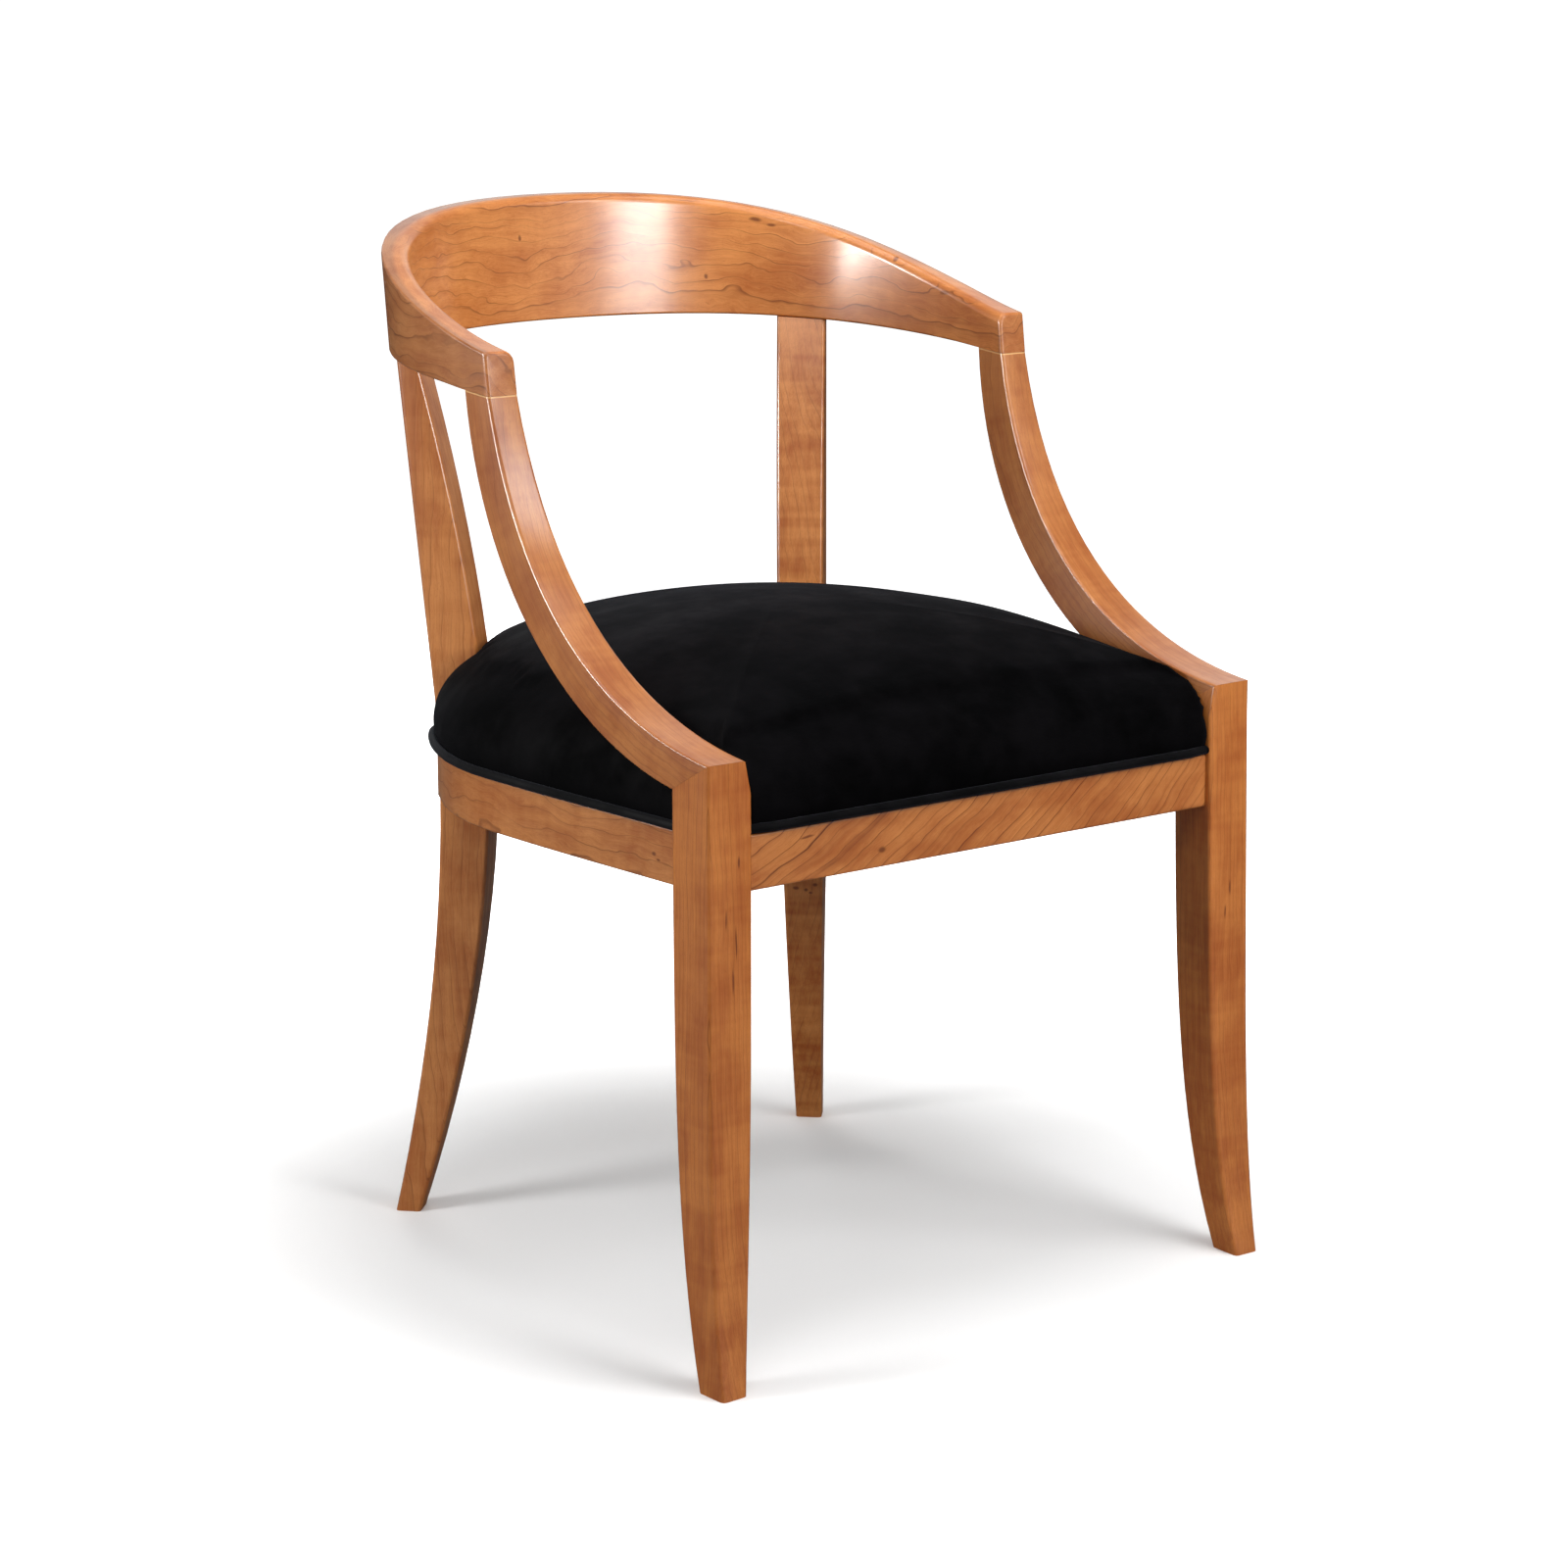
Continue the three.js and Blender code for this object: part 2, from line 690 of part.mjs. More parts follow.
function frontPlaces(from, to, steps) {
  return Array.from({ length: steps + 1 }, (_, step) => ({
    point: new THREE.Vector2(lerp(from, to, step / steps), frameFront),
    out: new THREE.Vector2(0, -1)
  }))
}

const frontLegInside = legPoint(true, false, railMiddle).x
const frontLegCentre = (frontLegInside + legCorner.x) / 2

function frontTenon(growth) {
  const inLeg = frontLegInside + tenon.length + growth
  return railTenon(frontPlaces(frontLegInside - tenon.root, inLeg, 1), growth)
}

const backRailRing = backRailPlaces.map((place) => (
  evenQuad(railQuad(place, 0, railThickness, railBottom, seatRailTop), frame.edgeRadius)
))
const backRailLoft = loft([...backRailRing, ...backRailRing.slice(0, -1).reverse().map(mirroredRing)])

// Loose joinery

function turned(geometry, direction, place) {
  const up = new THREE.Vector3(0, 1, 0)
  const turn = new THREE.Quaternion().setFromUnitVectors(up, direction.clone().normalize())
  geometry.applyQuaternion(turn)
  geometry.translate(place.x, place.y, place.z)
  return geometry
}

function crestDowel(growth) {
  const direction = new THREE.Vector3(0, -undersideSlope, 1).normalize()
  const low = dowel.inArm + growth
  const length = low + dowel.inCrest + growth
  const pin = new THREE.CylinderGeometry(dowel.radius + growth, dowel.radius + growth, length, dowel.sides)
  pin.translate(0, length / 2 - low, 0)
  return turned(indexed(pin), direction, middleOf(armTops))
}

// The same faces with shared corners, so that the body is closed.
function indexed(geometry) {
  const bare = new THREE.BufferGeometry()
  bare.setAttribute('position', geometry.getAttribute('position'))
  bare.setIndex(geometry.getIndex())
  return mergeVertices(bare)
}

// A loose tongue across the mitre, set towards its heel so that it stays inside the arm support.
function mitreTongue(growth) {
  const across = armFeet[1].clone().sub(armFeet[0]).normalize()
  const down = armFeet[3].clone().sub(armFeet[0]).normalize()
  const intoArm = new THREE.Vector3().crossVectors(across, down).normalize()
  if (intoArm.z < 0) intoArm.negate()
  const centre = middleOf(armFeet).addScaledVector(down, tongue.heelShift)
  const rings = [-tongue.inLeg - growth, tongue.inArm + growth].map((depth) => {
    const middle = centre.clone().addScaledVector(intoArm, depth)
    const corners = [[-1, -1], [1, -1], [1, 1], [-1, 1]].map(([a, d]) => (
      middle.clone()
        .addScaledVector(across, a * (tongue.thickness / 2 + growth))
        .addScaledVector(down, d * (tongue.width / 2 + growth))
    ))
    return evenQuad(corners, tongue.radius)
  })
  return loft(rings)
}

// Corner blocks and their screws

const blockTop = seatRailTop - clearance * 2 - dustCover.thickness
const blockBottom = blockTop - block.height

// The space that a run of rail takes, with a clearance inside it.
function railEnvelope(places) {
  const quads = places.map((place) => (
    railQuad(place, 0, railThickness + clearance, railBottom, seatRailTop)
  ))
  return loft(quads)
}

function prism(outline, low, high) {
  return loft([low, high].map((height) => outline.map((point) => at(point, height))))
}

function turnNear(turn, distance) {
  const here = framePoint(turn, railThickness)
  const isBefore = distance < 0
  const limit = isBefore ? 0 : 2
  const reach = (other) => framePoint(other, railThickness).distanceTo(here)
  return findZero((other) => reach(other) - Math.abs(distance), turn, limit)
}

const frontBlockCorner = new THREE.Vector2(
  framePoint(turnAtDepth(frameFront + railThickness), railThickness).x,
  frameFront + railThickness
)
const frontBlockOutline = [
  frontBlockCorner.clone().setX(frontBlockCorner.x - block.frontReach),
  frontBlockCorner,
  framePoint(turnAtDepth(frontBlockCorner.y + block.frontReach / 2), railThickness),
  framePoint(turnAtDepth(frontBlockCorner.y + block.frontReach), railThickness)
]

const rearBlockTurns = rearBlockShares.map((share) => (
  share === 0 ? postTurnPlace : turnNear(postTurnPlace, share * block.rearReach)
))
const rearBlockNear = [1, -1].map((side) => {
  const turn = turnNear(postTurnPlace, side * block.rearReach * blockNearShare)
  return framePoint(turn, railThickness + block.rearDepth)
})
const rearBlockOutline = [...rearBlockTurns.map((turn) => framePoint(turn, railThickness)), ...rearBlockNear]

// A pan-head screw along +Y, its head's underside at zero; growth turns it into its own hole.
function screwForm(screw, growth, headReach) {
  const outline = [
    [0, -headReach],
    [screw.headRadius + growth, -headReach],
    [screw.headRadius + growth, growth],
    [screw.shankRadius + growth, growth],
    [screw.shankRadius + growth, screw.length - screw.tip + growth],
    [0, screw.length + growth]
  ].map(([radius, along]) => new THREE.Vector2(radius, along))
  return indexed(new THREE.LatheGeometry(outline, screw.sides))
}

function screwAt(screw, { place, direction }) {
  return turned(screwForm(screw, 0, screw.headHeight), direction, place)
}

function screwHole(screw, { place, direction }) {
  return turned(screwForm(screw, clearance, block.pocketReach), direction, place)
}

const blockMiddle = (blockTop + blockBottom) / 2

// A screw that ends a bite deep in the rail whose inner face has this place and outward direction.
function railScrewSeat(point, out) {
  const back = at(out, 0).multiplyScalar(-(blockScrew.length - screwBite))
  return { place: at(point, blockMiddle).add(back), direction: at(out, 0) }
}

const frontBlockScrews = [
  railScrewSeat(
    frontBlockCorner.clone().setX(frontBlockCorner.x - block.frontReach * screwPlaceShare),
    new THREE.Vector2(0, -1)
  ),
  frameScrewSeat(turnAtDepth(frontBlockCorner.y + block.frontReach * screwPlaceShare))
]
const rearBlockScrews = [-1, 1].map((side) => (
  frameScrewSeat(turnNear(postTurnPlace, side * block.rearReach * screwPlaceShare))
))

function frameScrewSeat(turn) {
  return railScrewSeat(framePoint(turn, railThickness), framePlace(turn).out)
}

function seatScrewSeat(ends) {
  const middle = ends[0].clone().add(ends[1]).divideScalar(2)
  const along = ends[1].clone().sub(ends[0]).normalize()
  const aside = new THREE.Vector2(along.y, -along.x).multiplyScalar(seatScrewInset)
  const tip = seatRailTop + clearance + seatScrewBite
  return { place: at(middle.add(aside), tip - seatScrew.length), direction: new THREE.Vector3(0, 0, 1) }
}

const frontSeatScrew = seatScrewSeat([frontBlockOutline[0], frontBlockOutline[3]])
const rearSeatScrew = seatScrewSeat([rearBlockNear[1], rearBlockNear[0]])

// Upholstered seat

const boardBottom = seatRailTop + clearance
const boardTop = boardBottom + board.thickness

function mirroredPath(points) {
  return points.slice(0, -1).reverse().map((point) => new THREE.Vector2(-point.x, point.y))
}

function frameOutline(inset, sections) {
  const half = [...railPlaces(0, 1, sections.side), ...railPlaces(1, 2, sections.back).slice(1)]
  const right = half.map((place) => place.point.clone().addScaledVector(place.out, -inset))
  right[0].y = frameFront + inset
  return [...right, ...mirroredPath(right)]
}

function bothSides(cutter) {
  return [cutter, mirrored(cutter)]
}

// What the legs and arm supports keep clear in the cushion, open towards the outside.
function legNotches(growth) {
  const side = new THREE.Vector3(cushion.notchReach, 0, 0)
  const corner = at(radial, 0).multiplyScalar(cushion.notchReach)
  const notch = (quads, reach) => loft(quads.map((quad) => (
    grownQuad(quad, growth).map((point, i) => (i === 0 || i === 3 ? point.add(reach) : point))
  )))
  const intoLeg = armFeet.map((point) => point.clone().setZ(point.z - overrun))
  return [
    notch(frontLegCorners, side),
    notch([...armCorners, intoLeg], side),
    notch(rearLegCorners, corner)
  ].flatMap(bothSides)
}

const crownCentre = new THREE.Vector2(0, -cushion.centreBack)
const widestHeight = seatRailTop + cushion.wallHeight
const crownHeight = seatCrown - cushion.wallHeight - cushion.edgeHeight
const weltInside = welt.overhang - welt.radius - cushion.rimGap

// Height above the widest part, a share of the way out to the rim along an arrow from the middle.
function crownAt(share, arrow) {
  const behind = smoothstep(arrow.y, -cushion.blendReach, cushion.blendReach)
  const toSide = frameHalf / Math.max(Math.abs(arrow.x), clearance)
  const toFront = (crownCentre.y - frameFront) / Math.max(-arrow.y, clearance)
  const { cornerPower } = crownShares
  const towardsCorner = (toSide ** cornerPower + toFront ** cornerPower) ** (-1 / cornerPower)
  const corner = Math.min(towardsCorner, 1) * (1 - behind)
  const edge = (1 - share ** crownShares.edgePower) ** (1 / crownShares.edgeRound)
  const falling = (1 - share ** 2) * (1 - (corner * share) ** 2)
  const power = lerp(crownShares.crownPower, crownShares.backPower, behind)
  return cushion.edgeHeight * edge + crownHeight * falling ** power
}

// The cushion's outside, or with an inset its inside, from its lower rim to the crown.
function cushionLoft(inset, low, shares, sections) {
  const outline = frameOutline(0, sections)
  const front = Array.from({ length: cushion.frontSections - 1 }, (_, step) => (
    new THREE.Vector2(lerp(-frameFrontHalf, frameFrontHalf, (step + 1) / cushion.frontSections), frameFront)
  ))
  const around = [...outline, ...front]
  const rim = around.map((point) => point.clone().sub(crownCentre))
  const ringAt = (share, height, bulge) => rim.map((arrow) => {
    const reach = (arrow.length() + bulge - inset) / arrow.length()
    return at(crownCentre.clone().addScaledVector(arrow, share * reach), height(arrow))
  })
  const crownRing = (share) => (
    ringAt(share, (arrow) => widestHeight - inset + crownAt(share, arrow), cushion.sideBulge)
  )
  const weltTop = boardBottom + welt.radius * 2
  const rings = [
    ringAt(1, () => low, weltInside),
    ringAt(1, () => Math.max(weltTop, low + clearance), weltInside),
    ...shares.map(crownRing)
  ]
  return loft(rings)
}

function weltTube(points, growth) {
  const path = new THREE.CatmullRomCurve3(points.map((point) => at(point, boardBottom + welt.radius)))
  const section = new THREE.Shape()
  section.absarc(0, 0, welt.radius + growth, 0, Math.PI * 2)
  const tube = new THREE.ExtrudeGeometry(section, {
    steps: Math.round(path.getLength() / welt.stepLength),
    curveSegments: welt.sides / 2, // a full circle takes twice as many
    extrudePath: path,
    bevelEnabled: false
  })
  return indexed(tube)
}

// The welt follows the rails outside their face and tucks in where it ends against a post.
function weltRun(from, to, tuckFrom, tuckTo, steps) {
  const start = framePoint(from, 0)
  const end = framePoint(to, 0)
  return Array.from({ length: steps + 1 }, (_, step) => {
    const turn = lerp(from, to, step / steps)
    const point = framePoint(turn, 0)
    const nearStart = 1 - smoothstep(point.distanceTo(start), 0, welt.tuckLength)
    const nearEnd = 1 - smoothstep(point.distanceTo(end), 0, welt.tuckLength)
    return framePoint(turn, nearStart * tuckFrom + nearEnd * tuckTo - welt.overhang)
  })
}

const sideWeltTurns = [turnAtDepth(legRear - tenon.root), turnAtTangent(postForward - tenon.root)]
const backWeltTurn = turnAtTangent(postBackward + tenon.root)
const sideWelt = weltRun(sideWeltTurns[0], sideWeltTurns[1], 0, welt.tuck, weltPoints.side)
const rightBackWelt = weltRun(backWeltTurn, 2, welt.tuck, 0, weltPoints.back)
const backWelt = [...rightBackWelt, ...mirroredPath(rightBackWelt)]
const frontWeltEnd = frontLegInside + tenon.root
const frontWelt = frontWeltShares.map((share) => {
  const tuck = Math.abs(share) === 1 ? welt.tuck : 0
  return new THREE.Vector2(share * frontWeltEnd, frameFront - welt.overhang + tuck)
})

// Pieces

const frontLegCut = frontLegEnvelope(clearance)
const rearLegCut = rearLegEnvelope(clearance)
const postHoles = bothSides(postTenon(clearance))
const dowelHoles = bothSides(crestDowel(clearance))

addPiece('crest_rail', cut(crestLoft(), ...postHoles, ...dowelHoles), cherry)
addPair('arm_support', cut(armLoft, crestDowel(clearance), mitreTongue(clearance)), cherry)
addPair('front_leg', cut(
  frontLegLoft,
  mitreTongue(clearance),
  frontTenon(clearance),
  spanTenon(sideTenonSpans[0], clearance)
), cherry)
addPair('rear_leg', cut(
  joined(rearLegLoft, postTenon(0)),
  railTenon(railPlaces(...sideTenonSpans[1], tenon.sections), clearance),
  railTenon(railPlaces(...backTenonSpan, tenon.sections), clearance)
), cherry)
addPair('crest_dowel', crestDowel(0), bareWood)
addPair('mitre_spline', mitreTongue(0), bareWood)

const frontRailBody = cut(
  fullRail(frontPlaces(-frontLegCentre, frontLegCentre, frame.frontSections)),
  ...bothSides(frontLegCut)
)
addPiece('front_rail', cut(
  joined(frontRailBody, ...bothSides(frontTenon(0))),
  ...bothSides(screwHole(blockScrew, frontBlockScrews[0]))
), cherry)

const sideRailBody = cut(fullRail(sideRailPlaces), frontLegCut, rearLegCut)
addPair('side_rail', cut(
  joined(sideRailBody, spanTenon(sideTenonSpans[0], 0), spanTenon(sideTenonSpans[1], 0)),
  screwHole(blockScrew, frontBlockScrews[1]),
  screwHole(blockScrew, rearBlockScrews[0])
), cherry)

const backRailBody = cut(backRailLoft, ...bothSides(rearLegCut))
addPiece('back_rail', cut(
  joined(backRailBody, ...bothSides(spanTenon(backTenonSpan, 0))),
  ...bothSides(screwHole(blockScrew, rearBlockScrews[1]))
), cherry)

function addBlock(name, outline, neighbours, railScrews, upScrew) {
  const railHoles = railScrews.map((seat) => screwHole(blockScrew, seat))
  const body = prism(outline, blockBottom, blockTop)
  const shaped = cut(body, ...neighbours, ...railHoles, screwHole(seatScrew, upScrew))
  addPair(`corner_block_${name}`, shaped, bareWood)
  railScrews.forEach((seat, i) => {
    addPair(`block_screw_${name}_${i + 1}`, screwAt(blockScrew, seat), screwFinish)
  })
  addPair(`seat_screw_${name}`, screwAt(seatScrew, upScrew), screwFinish)
}

const frontSpace = railEnvelope(frontPlaces(0, frontLegCentre, frame.frontSections))
const sideSpace = railEnvelope(sideRailPlaces)
const backSpace = railEnvelope(backRailPlaces)
const frontNeighbours = [frontLegCut, frontSpace, sideSpace]
const rearNeighbours = [rearLegCut, sideSpace, backSpace]
addBlock('front', frontBlockOutline, frontNeighbours, frontBlockScrews, frontSeatScrew)
addBlock('rear', rearBlockOutline, rearNeighbours, rearBlockScrews, rearSeatScrew)

const upHoles = [frontSeatScrew, rearSeatScrew].flatMap((seat) => bothSides(screwHole(seatScrew, seat)))
const clothInset = cushion.clothThickness + clearance
const wrappedGap = cushion.legGap + clothInset
const dustOutline = frameOutline(railThickness + dustCover.inset, dustSections)
const dustLow = blockTop + clearance
const boardOutline = frameOutline(board.inset, liningSections)
addPiece('dust_cover', cut(
  prism(dustOutline, dustLow, dustLow + dustCover.thickness),
  ...[frontLegCut, rearLegCut].flatMap(bothSides),
  ...upHoles
), clothFinish)
addPiece('seat_board', cut(
  prism(boardOutline, boardBottom, boardTop),
  ...legNotches(wrappedGap),
  ...upHoles
), bareWood)

const coverOutside = cut(
  cushionLoft(0, boardBottom, ringShares, coverSections),
  ...legNotches(cushion.legGap),
  ...bothSides(weltTube(sideWelt, clearance)),
  weltTube(backWelt, clearance),
  weltTube(frontWelt, clearance)
)
const coverInside = cut(
  cushionLoft(cushion.clothThickness, boardBottom - overrun, innerRingShares, liningSections),
  ...legNotches(cushion.legGap + cushion.clothThickness)
)
addPiece('seat_cover', cut(coverOutside, coverInside), velvet)

addPiece('seat_foam', cut(
  cushionLoft(clothInset, boardTop + clearance, innerRingShares, liningSections),
  ...legNotches(wrappedGap)
), foamFinish)

addPair('welt', cut(weltTube(sideWelt, 0), frontLegCut, rearLegCut), velvet)
addPiece('welt_back', cut(weltTube(backWelt, 0), ...bothSides(rearLegCut)), velvet)
addPiece('welt_front', cut(weltTube(frontWelt, 0), ...bothSides(frontLegCut)), velvet)

// The chair stands centred on its own outline.
const bounds = new THREE.Box3().setFromObject(chair)
const middle = bounds.getCenter(new THREE.Vector3())
chair.position.set(-middle.x, -middle.y, -bounds.min.z)

export default chair
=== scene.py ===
import math

import bmesh
import bpy
import numpy as np
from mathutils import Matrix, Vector
from mathutils.bvhtree import BVHTree


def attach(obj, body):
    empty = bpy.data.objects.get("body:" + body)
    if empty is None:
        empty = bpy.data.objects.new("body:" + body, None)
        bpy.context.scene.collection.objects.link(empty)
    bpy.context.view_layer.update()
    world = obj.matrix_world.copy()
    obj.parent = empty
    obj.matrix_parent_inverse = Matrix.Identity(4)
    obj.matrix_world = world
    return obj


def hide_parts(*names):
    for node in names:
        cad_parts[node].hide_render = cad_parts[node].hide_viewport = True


# Klismos armchair. The CAD solids carry the shape: the wood pieces are shown as sanded copies of them that
# know which way their grain runs, and the cushion and its piping are sewn anew. Lengths are in metres.

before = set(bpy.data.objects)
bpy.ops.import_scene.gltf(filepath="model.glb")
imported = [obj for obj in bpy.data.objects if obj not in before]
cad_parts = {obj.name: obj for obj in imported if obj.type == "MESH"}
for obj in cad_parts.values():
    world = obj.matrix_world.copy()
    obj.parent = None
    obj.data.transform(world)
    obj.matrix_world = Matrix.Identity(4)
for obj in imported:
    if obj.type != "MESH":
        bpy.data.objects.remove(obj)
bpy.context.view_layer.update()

# Plan of the chair, as in the CAD model: the corners of the curves that the crest's middle and the outside
# of the rails follow, on the right half
PLAN_SHIFT = -0.006225
HOOP = [(0.25965, 0), (0.259286, 0.07185), (0.276164, 0.2896), (0, 0.2896)]
SIDE = [(0.2487, -0.2611), (0.2533, -0.154125), (0.2602, -0.074099), (0.2602, 0.0111)]
BACK = [(0.2602, 0.0111), (0.2602, 0.0961), (0.185002, 0.2611), (0, 0.2611)]
HOOP_POINTS = 90
FRAME_POINTS = 60
REAR_TURN = math.radians(43.5)


def curve_point(corners, share):
    a, b, c, d = (np.array(corner, float) for corner in corners)
    rest = 1 - share
    return a * rest ** 3 + 3 * b * share * rest ** 2 + 3 * c * share ** 2 * rest + d * share ** 3


def plan_curve(corners, count):
    return curve_point(corners, np.linspace(0, 1, count)[:, None]) + (0, PLAN_SHIFT)


def both_halves(right):
    left = right[::-1] * (-1, 1)
    return np.vstack([right, left[1:]])


def run_along(line):
    """Distance covered at each point of a line in plan."""
    return np.concatenate([[0], np.cumsum(np.linalg.norm(np.diff(line, axis=0), axis=1))])


HOOP_LINE = both_halves(plan_curve(HOOP, HOOP_POINTS))
HOOP_HALF = run_along(HOOP_LINE)[-1] / 2
FRAME_LINE = both_halves(np.vstack([plan_curve(SIDE, FRAME_POINTS), plan_curve(BACK, FRAME_POINTS)[1:]]))


def add_object(name, data):
    thing = bpy.data.objects.new(name, data)
    bpy.context.scene.collection.objects.link(thing)
    return thing


def facing_aim(thing, azimuth, elevation, distance, aim):
    """Puts a camera or lamp at a distance from its aim, turned to it. Azimuth 0 is the chair's front."""
    turn = math.radians(azimuth)
    rise = math.radians(elevation)
    away = Vector((math.sin(turn) * math.cos(rise), -math.cos(turn) * math.cos(rise), math.sin(rise)))
    thing.location = Vector(aim) + away * distance
    thing.rotation_mode = "QUATERNION"
    thing.rotation_quaternion = (-away).to_track_quat("-Z", "Y")


# Camera, solved from the photograph's vanishing lines
CAMERA_LENS = 87.085
CAMERA_SENSOR = 36
CAMERA_PLACE = {"azimuth": -37.76, "elevation": 12.441, "distance": 2.9639, "aim": (0, -0.024, 0.3656)}


def add_camera():
    data = bpy.data.cameras.new("camera")
    data.lens = CAMERA_LENS
    data.sensor_width = CAMERA_SENSOR
    camera = add_object("camera", data)
    facing_aim(camera, **CAMERA_PLACE)
    bpy.context.scene.camera = camera


add_camera()


# Which output of each node is read
ATTRIBUTE_VECTOR = 1
OBJECT_PLACE = 3
SURFACE_NORMAL = 1
CAMERA_RAY = 0
GLOSSY_RAY = 3

# The spans of a noise's values that a colour or a roughness is spread over, wide and narrow
MIDDLE_RANGE = (0.3, 0.7)
CORE_RANGE = (0.35, 0.65)

WHITE = (1, 1, 1, 1)


class Recipe:
    """Builds a material's nodes around its shader."""

    def __init__(self, name):
        self.material = bpy.data.materials.new(name)
        self.material.use_nodes = True
        self.tree = self.material.node_tree
        self.shader = self.tree.nodes["Principled BSDF"]

    def put(self, socket, value):
        if isinstance(value, bpy.types.NodeSocket):
            self.tree.links.new(value, socket)
        else:
            socket.default_value = value

    def add(self, kind, *values, out=0, **settings):
        """Adds a node, feeds its enabled inputs in order, and gives its enabled output number out."""
        node = self.tree.nodes.new(kind)
        for key, value in settings.items():
            setattr(node, key, value)
        for socket, value in zip([s for s in node.inputs if s.enabled], values):
            self.put(socket, value)
        return [s for s in node.outputs if s.enabled][out]

    def math(self, operation, *values):
        return self.add("ShaderNodeMath", *values, operation=operation)

    def vector(self, operation, *values):
        return self.add("ShaderNodeVectorMath", *values, operation=operation)

    def scaled(self, vector, factors):
        return self.vector("MULTIPLY", vector, factors)

    def weighed(self, *pairs):
        """Sum of values times their weights."""
        total = self.math("MULTIPLY", *pairs[0])
        for value, weight in pairs[1:]:
            total = self.math("ADD", total, self.math("MULTIPLY", value, weight))
        return total

    def part(self, vector, axis):
        return self.add("ShaderNodeSeparateXYZ", vector, out=axis)

    def stored_vector(self, name):
        return self.add("ShaderNodeAttribute", attribute_name=name, out=ATTRIBUTE_VECTOR)

    def object_place(self):
        return self.add("ShaderNodeTexCoord", out=OBJECT_PLACE)

    def upward(self):
        """How far the surface faces up, from -1 to 1."""
        return self.part(self.add("ShaderNodeNewGeometry", out=SURFACE_NORMAL), 2)

    def noise(self, vector, detail, roughness=0.5, colour=False):
        node = self.tree.nodes.new("ShaderNodeTexNoise")
        self.put(node.inputs["Vector"], vector)
        node.inputs["Scale"].default_value = 1
        node.inputs["Detail"].default_value = detail
        node.inputs["Roughness"].default_value = roughness
        return node.outputs["Color" if colour else "Fac"]

    def between(self, value, low, high, to_low=0.0, to_high=1.0, smooth=True):
        """Maps low to to_low and high to to_high, and stays there beyond them."""
        node = self.tree.nodes.new("ShaderNodeMapRange")
        node.interpolation_type = "SMOOTHSTEP" if smooth else "LINEAR"
        self.put(node.inputs["Value"], value)
        for key, number in zip(("From Min", "From Max", "To Min", "To Max"), (low, high, to_low, to_high)):
            node.inputs[key].default_value = number
        return node.outputs["Result"]

    def ramp(self, value, stops):
        node = self.tree.nodes.new("ShaderNodeValToRGB")
        self.put(node.inputs["Fac"], value)
        points = node.color_ramp.elements
        while len(points) < len(stops):
            points.new(0.5)
        for point, (place, level) in zip(points, stops):
            point.position = place
            point.color = (level, level, level, 1)
        return node.outputs["Color"]

    def mix(self, share, first, second, blend="MIX"):
        """Mixes two colours, each a socket or three numbers."""
        colours = [value if isinstance(value, bpy.types.NodeSocket) else (*value, 1)
                   for value in (first, second)]
        return self.add("ShaderNodeMix", share, *colours, data_type="RGBA", blend_type=blend)

    def bump(self, height, strength, distance):
        node = self.tree.nodes.new("ShaderNodeBump")
        node.inputs["Strength"].default_value = strength
        node.inputs["Distance"].default_value = distance
        self.put(node.inputs["Height"], height)
        self.put(self.shader.inputs["Normal"], node.outputs["Normal"])

    def finish(self, **values):
        """Feeds the shader's inputs, named with _ for a space, and gives the material."""
        for key, value in values.items():
            self.put(self.shader.inputs[key.replace("_", " ")], value)
        return self.material


# Cherry, from pale heartwood to the dark line at the end of each year's growth
PALE = (0.6, 0.235, 0.068)
MIDDLE = (0.37, 0.1, 0.019)
DEEP = (0.13, 0.03, 0.006)
RING_STOPS = [(0.0, 0), (0.6, 0.02), (0.9, 0.2), (0.955, 1), (0.98, 1), (1.0, 0)]

# Noises in the wood, each as waves per metre along the grain, across it and behind the face
SWAY_NOISE = (7, 15, 15)
RIPPLE_NOISE = (42, 80, 80)
FADING_NOISE = (11, 70, 70)
FIBRE_NOISE = (16, 1050, 1050)
STREAK_NOISE = (5, 190, 190)
PORE_NOISE = (260, 2600, 2600)
CLOUD_NOISE = (17, 30, 30)
CURL_NOISE = (120, 16, 16)
SEED_STEP = (1.7, 0.9, 2.3)
NOISE_MEAN = 0.5

# What they do: how far lines sway for their wave, how uneven the years are, and how dark each mark is
SWAY_REACH = 4
RIPPLE_REACH = 0.7
UNEVEN_YEARS = 90
UNEVEN_SHARE = 1.6
FADING = {"low": 0.34, "high": 0.62, "to_low": 0.4}
TOP_FACE = (0.55, 0.85)
STREAK_SHARE = 0.3
FIBRE_SHARE = 0.3
CLOUD_RANGE = (0.33, 0.67)
CLOUD_SHARE = 0.6
CURL_REACH = 4
TONE_RANGE = (0.1, 1.2)
PORE_RANGE = (0.58, 0.72)
PORE_DEPTH = 0.22
SPOT_CORE = 0.3
SPOT_DEPTH = 0.82
# How far inside the crest's middle line the painted shade on its outside fades in
BACK_SHADE_DEPTHS = (-0.007, -0.002)
FIBRE_BUMP = {"strength": 0.12, "distance": 0.0004}

# Varnish: it soaks into the cut ends of the crest and leaves them duller
ROUGHNESS = (0.34, 0.44)
SPECULAR = 0.25
COAT = 0.85
COAT_ROUGHNESS = 0.23
COAT_IOR = 1.6
END_COAT = 0.35
END_ROUGHNESS = 0.2
END_FROM = 0.004
END_TO = 0.0012

# The crest's underside, which rises towards the back, and the pale line where the arms meet it
CREST_SLOPE = 0.0229 / 0.2896
SEAM_HEIGHT = 0.6854 - CREST_SLOPE * PLAN_SHIFT
SEAM_COLOUR = (0.95, 0.6, 0.28)
SEAM_FROM = 0.0012
SEAM_TO = 0.0008
SEAM_SHARE = 0.8


